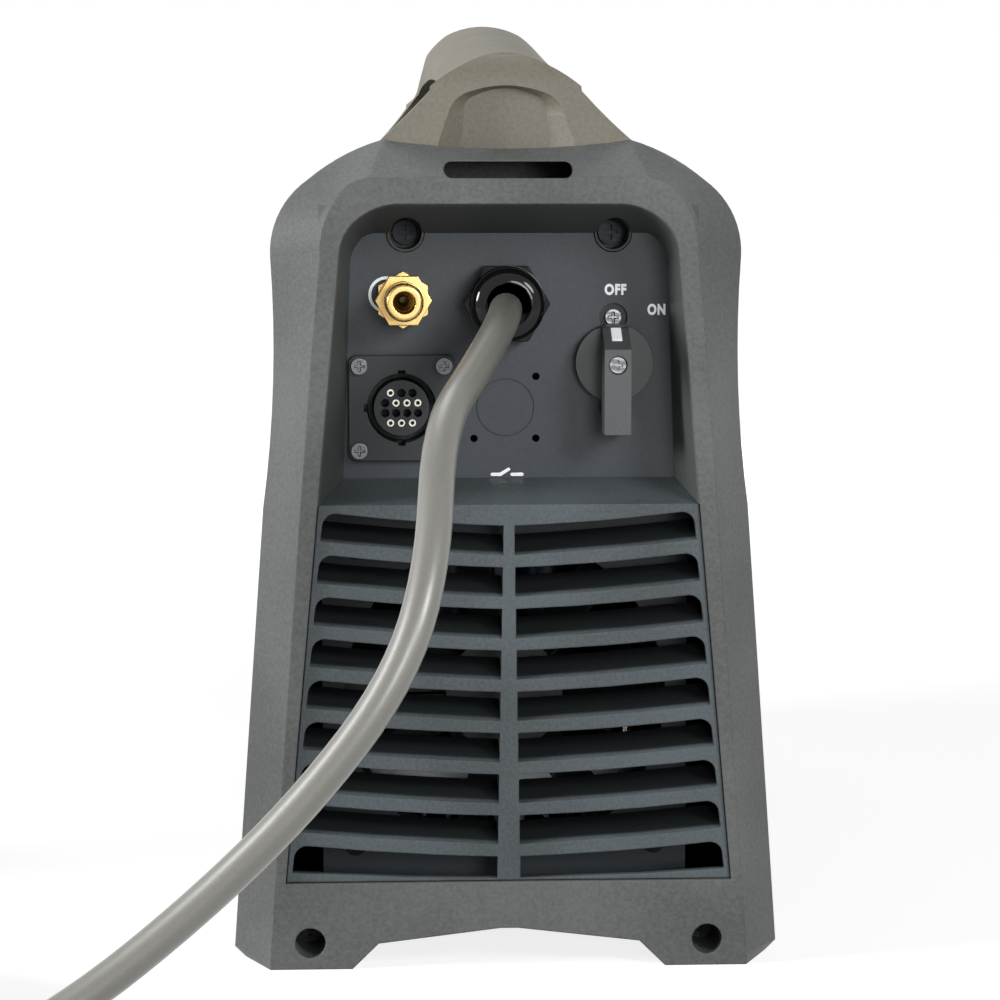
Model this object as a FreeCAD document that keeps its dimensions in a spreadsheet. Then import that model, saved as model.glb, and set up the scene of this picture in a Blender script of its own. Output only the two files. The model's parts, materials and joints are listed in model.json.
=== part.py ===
import FreeCAD, Part
import math
import os
import re
from types import SimpleNamespace

import Sketcher
from FreeCAD import Placement, Rotation, Vector

# Plasma cutter unit, millimetres. +Z is up, the rear face looks along -Y, the front panel along +Y,
# and the origin is on the floor under the middle of the housing.

doc = FreeCAD.newDocument("plasma_cutter_unit")
sheet = doc.addObject("Spreadsheet::Sheet", "Sizes")

# Each line is one driving dimension, or a formula on the ones above it.
SIZES = (
    ("unit_length", "430", "rear ridge to front ridge"),
    ("base_width", "190", "over the feet"),
    ("hip_width", "168", "where the straight flank ends"),
    ("hip_level", "158", "height of that point"),
    ("shoulder_width", "162", "widest point above the waist"),
    ("shoulder_level", "244", "height of that point"),
    ("waist_bulge", "-2.2", "how far the flank draws in between hip and shoulder"),
    ("haunch_width", "136.4", "between the two shoulder arcs"),
    ("haunch_level", "270.3", "height of that point"),
    ("shoulder_bulge", "3.8", "rise of the lower shoulder arc"),
    ("haunch_bulge", "1.5", "rise of the upper shoulder arc"),
    ("crown_width", "85.4", "seat of the handle across the bezel"),
    ("bezel_height", "284", "ends of the handle seat"),
    ("crown_dip", "3", "how far the seat sags at the middle"),
    ("foot_chamfer", "3.8", "bevel of the outer foot corners"),
    ("unit_height", "330", "top of the handle"),
    ("bezel_depth", "65", "ridge to rear edge of a bezel"),
    ("flank_depth", "20", "ridge to side wall, along Y"),
    ("flank_spread", "12.8", "ridge to side wall, along X"),
    ("wall", "3", "bezel wall"),
    ("ridge_shoulder_width", "128", "ridge where its corner starts"),
    ("ridge_corner_width", "116.8", "ridge at the middle of its corner"),
    ("ridge_corner_level", "264.2", "height of that point"),
    ("ridge_top_width", "94", "flat top of the ridge"),
    ("ridge_top_level", "271.2", "height of the ridge"),
    ("ridge_corner_bulge", "1.7", "rise of each ridge corner arc"),
    ("crest_width", "2.7", "flat band inside the ridge, at the floor"),
    ("recess_depth", "30", "ridge plane to panel plane"),
    ("recess_top", "262.4", "upper edge of the recess at the front"),
    ("recess_top_width", "76.4", "flat top of the recess at the front"),
    ("recess_corner_width", "104.4", "middle of its corner"),
    ("recess_corner_level", "256.6", "height of that point"),
    ("recess_shoulder_width", "115.2", "where the corner starts"),
    ("recess_shoulder_level", "245", "height of that point"),
    ("recess_bulge", "1.3", "rise of each recess corner arc"),
    ("panel_top", "252", "upper edge of the visible panel"),
    ("panel_foot", "166.8", "lower edge of the visible panel"),
    ("panel_top_width", "94", "flat top of the visible panel"),
    ("panel_shoulder_width", "110.4", "visible panel under its corners"),
    ("panel_foot_width", "116.4", "visible panel at the sill"),
    ("recess_shift", "1.5", "how far the bottom of the recess sits to the right"),
    ("tub_wall", "2.2", "wall of the recess"),
    ("skirt_height", "30", "floor to the lower edge of the grille"),
    ("grille_top", "160.4", "front edge of the sill"),
    ("fit_gap", "0.3", "clearance between fitted pieces"),
    ("half_length", "=unit_length / 2", "ridge plane from the middle"),
    ("panel_plane", "=half_length - recess_depth", "panel plane from the middle"),
    ("bezel_edge", "=half_length - bezel_depth", "inner edge of a bezel"),
    ("side_plane", "=half_length - flank_depth", "start of the side walls"),
    ("plate_thickness", "2", "rear and front panel sheet"),
    ("plate_face", "=panel_plane - 0.2", "face of the panel sheet"),
    ("plate_back", "=plate_face - plate_thickness", "back of the panel sheet"),
    ("plate_width", "128", "panel sheet, its lips behind the recess"),
    ("plate_top", "255.6", "upper edge of the panel sheet"),
    ("slot_width", "44", "slot under the handle"),
    ("slot_height", "5.6", "the same, high"),
    ("slot_level", "273.8", "middle of the slot"),
    ("cover_frame", "2.5", "frame that closes the bezel round the cover"),
    ("arch_foot_width", "108", "between the feet at the floor"),
    ("arch_shoulder_width", "90", "between the feet at the arch"),
    ("arch_shoulder", "8.8", "height of the arch beside the feet"),
    ("arch_top", "13.8", "height of the arch at the middle"),
    ("skirt_hole", "10.5", "bore of the lower screw wells"),
    ("skirt_hole_x", "68.5", "lower wells from the middle"),
    ("skirt_hole_z", "9.2", "height of the lower wells"),
    ("well_depth", "25", "ridge plane to the lower screw seats"),
    ("well_wall", "2", "wall of the lower wells"),
    ("upper_well", "11.2", "bore of the upper screw wells"),
    ("upper_well_outer", "12.8", "outside of the upper screw wells"),
    ("upper_well_x", "36", "upper wells from the middle"),
    ("upper_well_depth", "14", "panel plane to the upper screw seats"),
    ("screw_major", "4.8", "bezel screws"),
    ("screw_head", "8.6", "their heads"),
    ("screw_head_height", "3", "the same, high"),
    ("grille_inset", "1.5", "crest plane to grille face"),
    ("grille_skin", "1.8", "grille face"),
    ("grille_lip", "2.2", "how far the grille reaches behind the bezel"),
    ("grille_lip_root", "1", "the same, right behind it"),
    ("lip_thickness", "2.2", "that lip"),
    ("row_pitch", "14.33", "grille rows"),
    ("row_height_inner", "10.1", "opening at the middle rib"),
    ("row_height_outer", "9.4", "opening at its outer end"),
    ("row_rise", "4.4", "how much higher the outer end of a row is"),
    ("row_sag", "0.5", "curve of the row edges"),
    ("first_row_level", "153.2", "upper inner corner of the first row"),
    ("row_corner", "4.3", "outer upper corner of an opening"),
    ("end_bar", "1.6", "from an opening to the edge of the grille"),
    ("rib_top", "3.7", "middle rib at the first row"),
    ("rib_foot", "7.8", "middle rib at the last row"),
    ("blade_depth", "13", "louvre blades"),
    ("blade_rise", "5.5", "how much a blade climbs inwards"),
    ("blade_thickness", "1.9", "louvre blades"),
    ("sill_thickness", "2", "sill under the panel"),
    ("cover_sheet", "1.2", "steel cover"),
    ("cover_foot_width", "178", "cover at its lower edge"),
    ("cover_shoulder_width", "148", "cover where it bends"),
    ("cover_shoulder_level", "246", "height of that bend"),
    ("cover_crown_width", "100", "flat top of the cover"),
    ("cover_top", "270", "height of the cover"),
    ("cover_bend_bulge", "5", "rise of the cover's bend"),
    ("cover_foot", "6", "lower edge of the cover"),
    ("cover_tuck", "6", "how far the cover reaches into a bezel"),
    ("pan_sheet", "1.5", "base pan"),
    ("pan_floor", "14", "underside of the base pan"),
    ("pan_width", "171", "over the side flanges"),
    ("pan_flange", "20", "height of the side flanges"),
    ("pan_end", "=half_length - well_depth - wall", "end of the base pan"),
    ("pan_deck", "=pan_floor + pan_sheet", "top of the pan's floor"),
    ("bay_width", "128", "connector bay in the front grille"),
    ("bay_low", "36", "lower edge of the bay"),
    ("bay_high", "94", "upper edge of the bay"),
    ("bay_depth", "19", "front grille face to the bay floor"),
    ("bay_wall", "2.4", "walls and floor of the bay"),
    ("handle_foot_width", "=crown_width", "handle foot"),
    ("handle_neck_width", "43.2", "grip and neck"),
    ("far_foot_width", "79", "the foot at its front end"),
    ("far_neck_width", "45", "the neck there"),
    ("handle_neck_level", "305.3", "where the foot ends and the neck starts"),
    ("handle_flare_bulge", "-0.4", "hollow of the flared foot"),
    ("grip_edge_drop", "11", "top of the grip to its straight sides"),
    ("grip_crown_width", "28", "flatter middle of its domed top"),
    ("grip_crown_drop", "3.5", "top of the grip to the edges of that"),
    ("grip_corner_bulge", "0.5", "rise of the arcs between"),
    ("grip_end_drop", "17.8", "how much lower the top is at the ends of the handle"),
    ("grip_leg_drop", "15.2", "the same over the middle of each leg"),
    ("grip_heel_drop", "11.8", "the same over the inner side of each leg"),
    ("grip_third_drop", "8.1", "the same half way from the middle to the ends"),
    ("grip_quarter_drop", "3.3", "the same a quarter of the way"),
    ("grip_underside", "308.5", "underside of the grip at the middle"),
    ("handle_toe", "=side_plane", "near end of the handle foot"),
    ("handle_heel", "=half_length - 69", "inner side of the handle leg"),
    ("inset_width", "47.8", "hollow in the end of the handle foot, at the seat"),
    ("inset_level", "303.7", "its highest point"),
    ("inset_spread", "8", "how much narrower its floor is on each side"),
    ("inset_depth", "8", "the same, deep"),
    ("underside_width", "30", "strip that closes the grip"),
    ("underside_depth", "4", "the same, thick"),
    ("underside_length", "220", "the same, long"),
    ("handle_wall", "4", "walls of the hollow handle"),
    ("hollow_width", "26", "hollow of the grip"),
    ("hollow_half", "70", "the same, from the middle along Y"),
    ("hollow_top", "318", "its upper face"),
    ("handle_screw_x", "30", "handle screws from the middle"),
    ("handle_screw_y", "=half_length - 43", "the same, along Y"),
    ("handle_screw_shank", "5", "handle screws"),
    ("handle_screw_head", "9", "their heads"),
    ("gland_z", "228", "middle of the mains gland"),
    ("gland_thread", "20", "thread of the gland"),
    ("gland_hex", "26", "across its flats"),
    ("gland_hex_length", "5", "fixed hexagon"),
    ("gland_nut_hex", "8", "hexagon of the dome nut"),
    ("gland_dome", "12", "dome of the nut"),
    ("gland_dome_round", "5", "rounding of its rim"),
    ("gland_mouth", "15", "mouth of the dome nut"),
    ("gland_lock_length", "5", "nut behind the panel"),
    ("gland_tail", "15", "thread from the panel face inwards"),
    ("cable_diameter", "11.2", "four-core rubber mains lead"),
    ("lead_start", "-176", "end of the lead's jacket in the gland"),
    ("wire_way", "8", "way of its wires behind that"),
    ("cable_gap", "0.2", "between the lead and its clamp ring"),
    ("air_x", "-35.4", "middle of the air inlet"),
    ("air_z", "229", "the same, high"),
    ("air_thread", "13.16", "quarter-inch pipe thread"),
    ("air_hex", "17", "across its flats"),
    ("air_hex_length", "6", "its hexagon"),
    ("air_nut_length", "4.5", "its bulkhead nut"),
    ("air_nose", "15", "threaded nose"),
    ("air_rim", "1", "bevel of its rim"),
    ("air_bore", "7.6", "bore of the nose"),
    ("air_bore_depth", "11", "the same, deep"),
    ("air_seat", "2.6", "cone from the bore to the air way"),
    ("air_drill", "3", "air way behind it"),
    ("air_tail", "14", "thread behind the panel"),
    ("cnc_x", "-36", "middle of the interface socket"),
    ("cnc_z", "191.4", "the same, high"),
    ("cnc_flange", "37", "its square flange"),
    ("cnc_flange_thickness", "2.6", "the same, thick"),
    ("cnc_barrel", "28", "its barrel"),
    ("cnc_barrel_length", "22", "the same, behind the panel"),
    ("cnc_bore", "23.8", "bore of its barrel"),
    ("cnc_insert", "19.4", "contact insert"),
    ("cnc_insert_sink", "1.2", "flange face to insert face"),
    ("cnc_groove", "11", "depth of the ring groove"),
    ("cnc_pitch", "3.8", "contact spacing"),
    ("cnc_contact", "1.9", "contact sleeves"),
    ("cnc_screw_pitch", "29.4", "flange screws"),
    ("small_screw", "3", "flange and board screws"),
    ("small_screw_head", "5.8", "their heads"),
    ("small_screw_head_height", "2", "the same, high"),
    ("knockout_z", "191.4", "blanked opening in the middle"),
    ("knockout_diameter", "20.3", "the same"),
    ("knockout_pitch", "21.6", "holes around it"),
    ("knockout_hole", "2.6", "those holes"),
    ("scribe", "0.4", "depth of its scored ring"),
    ("switch_x", "37.8", "mains switch axis"),
    ("switch_z", "207.2", "the same, high"),
    ("switch_hole", "12", "panel hole of its shaft"),
    ("switch_screw_rise", "15.5", "its screws above and below the axis"),
    ("switch_well", "9.8", "panel holes of those screws"),
    ("switch_body_width", "38", "switch block"),
    ("switch_body_height", "44", "the same, high"),
    ("switch_body_depth", "36", "the same, deep"),
    ("switch_shaft", "9", "shaft of the knob"),
    ("running_gap", "0.05", "radial clearance of what turns or slides"),
    ("knob_disc", "27", "disc of the switch knob"),
    ("knob_disc_thickness", "5", "the same, thick"),
    ("knob_stand_off", "0.5", "panel to knob"),
    ("lever_width", "9.2", "lever of the knob"),
    ("lever_up", "12.4", "axis to the marked end"),
    ("lever_down", "24", "axis to the long end"),
    ("lever_height", "15", "lever above its disc"),
    ("lever_bevel", "7", "bevel of the marked end"),
    ("marker_width", "3.6", "white marker on that bevel"),
    ("marker_length", "7.8", "the same, along the bevel"),
    ("marker_rise", "2.5", "middle of the bevel to the middle of the marker"),
    ("front_knob_x", "36", "current knob"),
    ("front_knob_z", "205", "the same, high"),
    ("front_knob", "25", "the same, across"),
    ("front_knob_height", "14", "the same, proud of the panel"),
    ("front_knob_shaft", "6", "its shaft"),
    ("display_x", "-16", "display window"),
    ("display_z", "228", "the same, high"),
    ("display_width", "58", "the same, wide"),
    ("display_height", "26", "the same, tall"),
    ("button_diameter", "9", "front buttons"),
    ("button_z", "191", "the same, high"),
    ("mode_x", "-36", "mode button"),
    ("test_x", "-16", "air test button"),
    ("button_travel", "1.2", "how far a button goes in"),
    ("lamp_diameter", "4", "indicator lenses"),
    ("lamp_z", "176", "the same, high"),
    ("lamp_pitch", "14", "the same, apart"),
    ("torch_x", "-34", "torch socket"),
    ("socket_z", "65", "torch and work sockets"),
    ("torch_flange", "46", "torch socket flange"),
    ("torch_barrel", "38", "torch socket barrel"),
    ("torch_bore", "27", "torch socket bore"),
    ("torch_stem", "24", "its length behind the bay floor"),
    ("torch_projection", "17", "torch socket, out of the bay floor"),
    ("work_x", "36", "work lead socket"),
    ("work_flange", "34", "work socket body"),
    ("work_bore", "13.2", "work socket bore"),
    ("work_projection", "14", "work socket, out of the bay floor"),
    ("fan_size", "120", "square fan frame"),
    ("fan_depth", "25", "the same, deep"),
    ("fan_bore", "113", "air way of the fan"),
    ("fan_z", "90", "fan axis"),
    ("fan_pitch", "105", "fan screws"),
    ("fan_hub", "42", "rotor hub"),
    ("fan_axle", "4", "rotor axle"),
    ("fan_tip", "109", "over the blade tips"),
    ("sink_width", "110", "heat sink"),
    ("sink_height", "42", "the same, high"),
    ("sink_base", "8", "its base plate"),
    ("sink_fin", "2", "its fins"),
    ("sink_gap", "7", "between its fins"),
    ("sink_rear", "-130", "its rear end"),
    ("sink_length", "190", "the same, long"),
    ("module_width", "34", "power modules"),
    ("module_length", "50", "the same, long"),
    ("module_height", "17", "the same, high"),
    ("board_thickness", "1.6", "circuit boards"),
    ("board_width", "120", "power board"),
    ("post_height", "22", "posts under the power board"),
    ("post_diameter", "7", "the same"),
    ("capacitor_diameter", "30", "bulk capacitors"),
    ("capacitor_height", "46", "the same, high"),
    ("core_width", "70", "transformer core"),
    ("core_depth", "50", "the same, along Y"),
    ("core_height", "66", "the same, high"),
    ("core_y", "98", "its middle"),
    ("core_leg", "16", "its legs"),
    ("choke_outer", "44", "output choke"),
    ("choke_y", "157", "its middle"),
    ("cover_screw_y", "110", "outer cover screws from the middle"),
    ("cover_screw_z", "24", "height of the cover screws"),
    ("core_window", "11", "between the legs of the core"),
    ("choke_inner", "22", "bore of the choke"),
    ("choke_height", "17", "the same, high"),
    ("valve_width", "26", "solenoid valve block"),
    ("valve_length", "40", "the same, along Y"),
    ("valve_coil_height", "20", "its coil"),
    ("pressure_switch_height", "22", "pressure switch under the valve"),
    ("hose_diameter", "8", "air hose inside"),
    ("control_plane", "=plate_back - 24.8", "back of the control board"),
    ("control_width", "112", "control board"),
    ("control_foot", "168", "its lower edge"),
    ("control_height", "82", "the same, high"),
    ("control_face", "=control_plane + board_thickness", "front of the control board"),
    ("tie_width", "14", "ties round the coil"),
    ("tie_thickness", "1.6", "the same, thick"),
    ("tie_slack", "0.9", "room between a tie and the strands, which pass it slightly askew"),
    ("coil_x", "-250", "middle of the put-away coil"),
    ("coil_y", "-295", "the same, along Y"),
    ("coil_level", "=cable_diameter / 2 + tie_thickness", "centreline of its lower layer"),
    ("coil_pitch", "11.8", "from turn to turn and layer to layer"),
    ("coil_inner", "45", "smallest radius of its centreline"),
    ("coil_reversal", "3.25", "turns until it starts outwards again"),
    ("coil_turns", "6.25", "all its turns"),
    ("plug_gap", "95", "coil's middle to where the lead enters its plug"),
    ("plug_nut_length", "36", "tapered cable nut"),
    ("plug_nut_tip", "20", "its thin end"),
    ("plug_nut_root", "36", "its thick end"),
    ("plug_seat", "6", "how far the lead goes into the nut"),
    ("plug_body_length", "70", "handle of the plug"),
    ("plug_body_root", "42", "its thin end"),
    ("plug_body_front", "54", "its thick end"),
    ("shroud_outer", "62", "collar round the pins"),
    ("shroud_inner", "50", "the same, inside"),
    ("shroud_length", "40", "the same, long"),
    ("plug_pin", "5", "its pins"),
    ("plug_earth_pin", "7", "the thicker one"),
    ("plug_pin_circle", "14", "from the axis to the pins"),
    ("plug_pin_length", "34", "how far they stand out"),
)


def fill_sheet():
    """Write the driving dimensions with their aliases, one row each."""
    for row, (alias, value, meaning) in enumerate(SIZES, start=1):
        sheet.set(f"A{row}", meaning)
        sheet.set(f"B{row}", value)
        sheet.setAlias(f"B{row}", alias)
    doc.recompute()


fill_sheet()
S = SimpleNamespace(**{alias: float(sheet.get(alias)) for alias, _, _ in SIZES})


def on_sheet(formula):
    """Turn the size names in a formula into references to the sheet."""
    known = lambda word: "Sizes." + word[0] if word[0] in S.__dict__ else word[0]
    return re.sub(r"[a-z_]\w*", known, str(formula))


def number(formula):
    """The present value of a formula on the sheet."""
    return float(sheet.evalExpression(on_sheet(formula)))


# Builders for bound primitives

ALONG_Y = Rotation(Vector(1, 0, 0), -90)
ALONG_X = Rotation(Vector(0, 1, 0), 90)
UPRIGHT = Rotation()


def primitive(kind, name, at, turn, **sizes):
    """One primitive whose sizes and place are formulas on the sheet."""
    item = doc.addObject(kind, name)
    item.Placement = Placement(Vector(), turn)
    for axis, formula in zip("xyz", at):
        item.setExpression("Placement.Base." + axis, on_sheet(formula))
    for size, formula in sizes.items():
        item.setExpression(size, on_sheet(formula))
    return item


def block(name, low, size):
    """A block from its lowest corner and its sizes along X, Y and Z."""
    return primitive("Part::Box", name, low, UPRIGHT, Length=size[0], Width=size[1], Height=size[2])


def rod(name, start, radius, length, turn=ALONG_Y):
    """A round bar from the middle of its first end."""
    return primitive("Part::Cylinder", name, start, turn, Radius=radius, Height=length)


def taper(name, start, first, last, length, turn=ALONG_Y):
    """A cone frustum from the middle of its first end."""
    return primitive("Part::Cone", name, start, turn, Radius1=first, Radius2=last, Height=length)


def hexagon(name, start, across_flats, length, twist=0):
    """A six-sided bar along Y, measured across its flats."""
    turn = ALONG_Y.multiply(Rotation(Vector(0, 0, 1), twist))
    item = primitive("Part::Prism", name, start, turn, Height=length)
    item.Polygon = 6
    item.setExpression("Circumradius", on_sheet(f"({across_flats}) / sqrt(3)"))
    return item


def fuse(name, *pieces):
    """Several pieces joined into one."""
    item = doc.addObject("Part::MultiFuse", name)
    item.Shapes = list(pieces)
    return item


def cut(name, base, *tools):
    """A piece with others taken away from it."""
    item = doc.addObject("Part::Cut", name)
    item.Base = base
    item.Tool = tools[0] if len(tools) == 1 else fuse(name + "_cutters", *tools)
    return item


def group(name, *pieces):
    """Separate solids kept together under one name."""
    item = doc.addObject("Part::Compound", name)
    item.Links = list(pieces)
    return item


def feature(name, shape, placement=None):
    """A shape built by this file, with its placement set after it."""
    item = doc.addObject("Part::Feature", name)
    item.Shape = shape
    if placement:
        item.Placement = placement
    return item


def plane_sketch(body, role, name):
    """A sketch on one of the body's own origin planes."""
    sketch = body.newObject("Sketcher::SketchObject", name)
    plane = next(item for item in body.Origin.OriginFeatures if item.Role == role)
    sketch.AttachmentSupport = [(plane, "")]
    sketch.MapMode = "FlatFace"
    return sketch


def pin(sketch, kind, target, formula):
    """One dimension of a sketch, bound to the sheet."""
    index = sketch.addConstraint(Sketcher.Constraint(kind, *target, number(formula)))
    sketch.setExpression(f"Constraints[{index}]", on_sheet(formula))


def draw_polygon(sketch, corners):
    """A closed outline whose corners are formulas on the sheet."""
    points = [Vector(number(u), number(v), 0) for u, v in corners]
    count = len(points)
    edges = [sketch.addGeometry(Part.LineSegment(points[i], points[(i + 1) % count]), False)
             for i in range(count)]
    for i, (u, v) in enumerate(corners):
        sketch.addConstraint(Sketcher.Constraint("Coincident", edges[i - 1], 2, edges[i], 1))
        pin(sketch, "DistanceX", (-1, 1, edges[i], 1), u)
        pin(sketch, "DistanceY", (-1, 1, edges[i], 1), v)


def draw_rectangle(sketch, low, high):
    """An upright rectangle between two corners."""
    draw_polygon(sketch, ((low[0], low[1]), (high[0], low[1]), (high[0], high[1]), (low[0], high[1])))


def draw_circle(sketch, u, v, diameter):
    """A circle with its middle and diameter bound to the sheet."""
    circle = Part.Circle(Vector(number(u), number(v), 0), Vector(0, 0, 1), number(diameter) / 2)
    index = sketch.addGeometry(circle, False)
    pin(sketch, "Diameter", (index,), diameter)
    pin(sketch, "DistanceX", (-1, 1, index, 3), u)
    pin(sketch, "DistanceY", (-1, 1, index, 3), v)


def pad(body, sketch, length, name):
    """A pad of a sketch on the body's XZ plane, growing towards -Y."""
    item = body.newObject("PartDesign::Pad", name)
    item.Profile = sketch
    item.setExpression("Length", on_sheet(length))
    doc.recompute()
    return item


def pocket_through(body, sketch, name):
    """A pocket right through the body, both ways."""
    item = body.newObject("PartDesign::Pocket", name)
    item.Profile = sketch
    item.Type = 1
    item.Midplane = True
    return item


def new_body(name, at=("0", "0", "0")):
    """An empty body whose place is bound to the sheet."""
    body = doc.addObject("PartDesign::Body", name)
    for axis, formula in zip("xyz", at):
        body.setExpression("Placement.Base." + axis, on_sheet(formula))
    return body


# Outlines in the XZ plane. A half outline is a list of points; a point marked True is the middle of an arc.

def bulged(start, end, bulge):
    """The middle of an arc from start to end that stands off its chord by bulge, to the right of travel."""
    span_x, span_z = end[0] - start[0], end[1] - start[1]
    chord = math.hypot(span_x, span_z)
    return ((start[0] + end[0]) / 2 + bulge * span_z / chord,
            (start[1] + end[1]) / 2 - bulge * span_x / chord, True)


def widened(points, distance):
    """The outline moved outwards by a distance, corner by corner."""
    moved = []
    for index, point in enumerate(points):
        before, after = points[index - 1], points[(index + 1) % len(points)]
        normals = []
        for first, second in ((before, point), (point, after)):
            length = math.hypot(second[0] - first[0], second[1] - first[1])
            normals.append(((second[1] - first[1]) / length, -(second[0] - first[0]) / length))
        (ax, az), (bx, bz) = normals
        scale = distance / (1 + ax * bx + az * bz)
        moved.append((point[0] + (ax + bx) * scale, point[1] + (az + bz) * scale) + tuple(point[2:]))
    return moved


def mirrored(half):
    """A whole outline, anticlockwise seen from the rear, from its right half."""
    left = [(-point[0],) + tuple(point[1:]) for point in reversed(half) if point[0] > 1e-6]
    return list(half) + left


def outline_wire(points, y):
    """The wire of an outline at one place along Y."""
    spots = [Vector(point[0], y, point[1]) for point in points]
    is_mid = [len(point) > 2 for point in points]
    count = len(points)
    edges = []
    index = 0
    while index < count:
        if is_mid[(index + 1) % count]:
            edges.append(Part.Arc(spots[index], spots[(index + 1) % count],
                                  spots[(index + 2) % count]).toShape())
            index += 2
        else:
            edges.append(Part.LineSegment(spots[index], spots[(index + 1) % count]).toShape())
            index += 1
    return Part.Wire(edges)


def lofted(*sections):
    """A ruled solid through outlines at places along Y."""
    return Part.makeLoft([outline_wire(points, y) for points, y in sections], True, True)


def extruded(points, y, depth):
    """A straight solid from an outline."""
    return Part.Face(outline_wire(points, y)).extrude(Vector(0, depth, 0))


def cylinder_y(x, y, z, diameter, depth):
    """A round solid along Y."""
    return Part.makeCylinder(diameter / 2, depth, Vector(x, y, z), Vector(0, 1, 0))


# Housing outlines

def side_outline():
    """The silhouette of the bezel."""
    foot = S.base_width / 2
    hip = (S.hip_width / 2, S.hip_level)
    shoulder = (S.shoulder_width / 2, S.shoulder_level)
    haunch = (S.haunch_width / 2, S.haunch_level)
    crown = (S.crown_width / 2, S.bezel_height)
    half = [(foot - S.foot_chamfer, 0), (foot, S.foot_chamfer), hip, bulged(hip, shoulder, S.waist_bulge),
            shoulder,
            bulged(shoulder, haunch, S.shoulder_bulge), haunch, bulged(haunch, crown, S.haunch_bulge),
            crown,
            (0, S.bezel_height - S.crown_dip, True)]
    return mirrored(half)


def ridge_half():
    """The right half of the ridge, nearest the viewer."""
    foot = S.base_width / 2 - S.flank_spread
    hip = (S.hip_width / 2 - S.flank_spread, S.hip_level)
    shoulder = (S.ridge_shoulder_width / 2, S.recess_shoulder_level)
    corner = (S.ridge_corner_width / 2, S.ridge_corner_level)
    top = (S.ridge_top_width / 2, S.ridge_top_level)
    return [(foot, 0), (foot, S.foot_chamfer), hip, bulged(hip, shoulder, 0.3), shoulder,
            bulged(shoulder, corner, S.ridge_corner_bulge), corner,
            bulged(corner, top, S.ridge_corner_bulge), top,
            (0, S.ridge_top_level + 0.3, True)]


def crest_x(level):
    """Inner edge of the flat band beside the ridge, at a height."""
    foot = S.base_width / 2 - S.flank_spread - S.crest_width
    shoulder = S.recess_shoulder_width / 2
    return foot + (shoulder - foot) * level / S.recess_shoulder_level


def sideways(points, distance):
    """The outline moved along X."""
    return [(point[0] + distance,) + tuple(point[1:]) for point in points]


def recess_front():
    """The mouth of the panel recess, down to the sill."""
    floor = S.grille_top - S.sill_thickness
    shoulder = (S.recess_shoulder_width / 2, S.recess_shoulder_level)
    corner = (S.recess_corner_width / 2, S.recess_corner_level)
    top = (S.recess_top_width / 2, S.recess_top)
    return mirrored([(crest_x(floor), floor), shoulder, bulged(shoulder, corner, S.recess_bulge), corner,
                     bulged(corner, top, S.recess_bulge), top])


def recess_back():
    """The edge of the visible panel, down to the sill."""
    floor = S.grille_top - S.sill_thickness
    drop = S.recess_top - S.panel_top
    shoulder = (S.panel_shoulder_width / 2, S.recess_shoulder_level - drop * 0.55)
    top = (S.panel_top_width / 2, S.panel_top)
    corner = ((shoulder[0] * 0.7 + top[0] * 0.3), (shoulder[1] * 0.3 + top[1] * 0.7))
    whole = mirrored([(S.panel_foot_width / 2, floor), shoulder, bulged(shoulder, corner, 0.8), corner,
                      bulged(corner, top, 0.8), top])
    return sideways(whole, S.recess_shift)


def grille_outline(level_top):
    """The mouth of the grille, from the skirt up to a height."""
    return mirrored([(crest_x(S.skirt_height), S.skirt_height), (crest_x(level_top), level_top)])


def tube_along_y(x, z, outer, inner, start, end):
    """A plain tube between two places along Y."""
    return cylinder_y(x, start, z, outer, end - start), cylinder_y(x, start - 1, z, inner, end - start + 2)


def bezel_solid():
    """The bezel before it is hollowed, for pieces that seat on it."""
    rear = -S.half_length
    side = side_outline()
    return lofted((mirrored(ridge_half()), rear), (side, -S.side_plane), (side, -S.bezel_edge))


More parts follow.
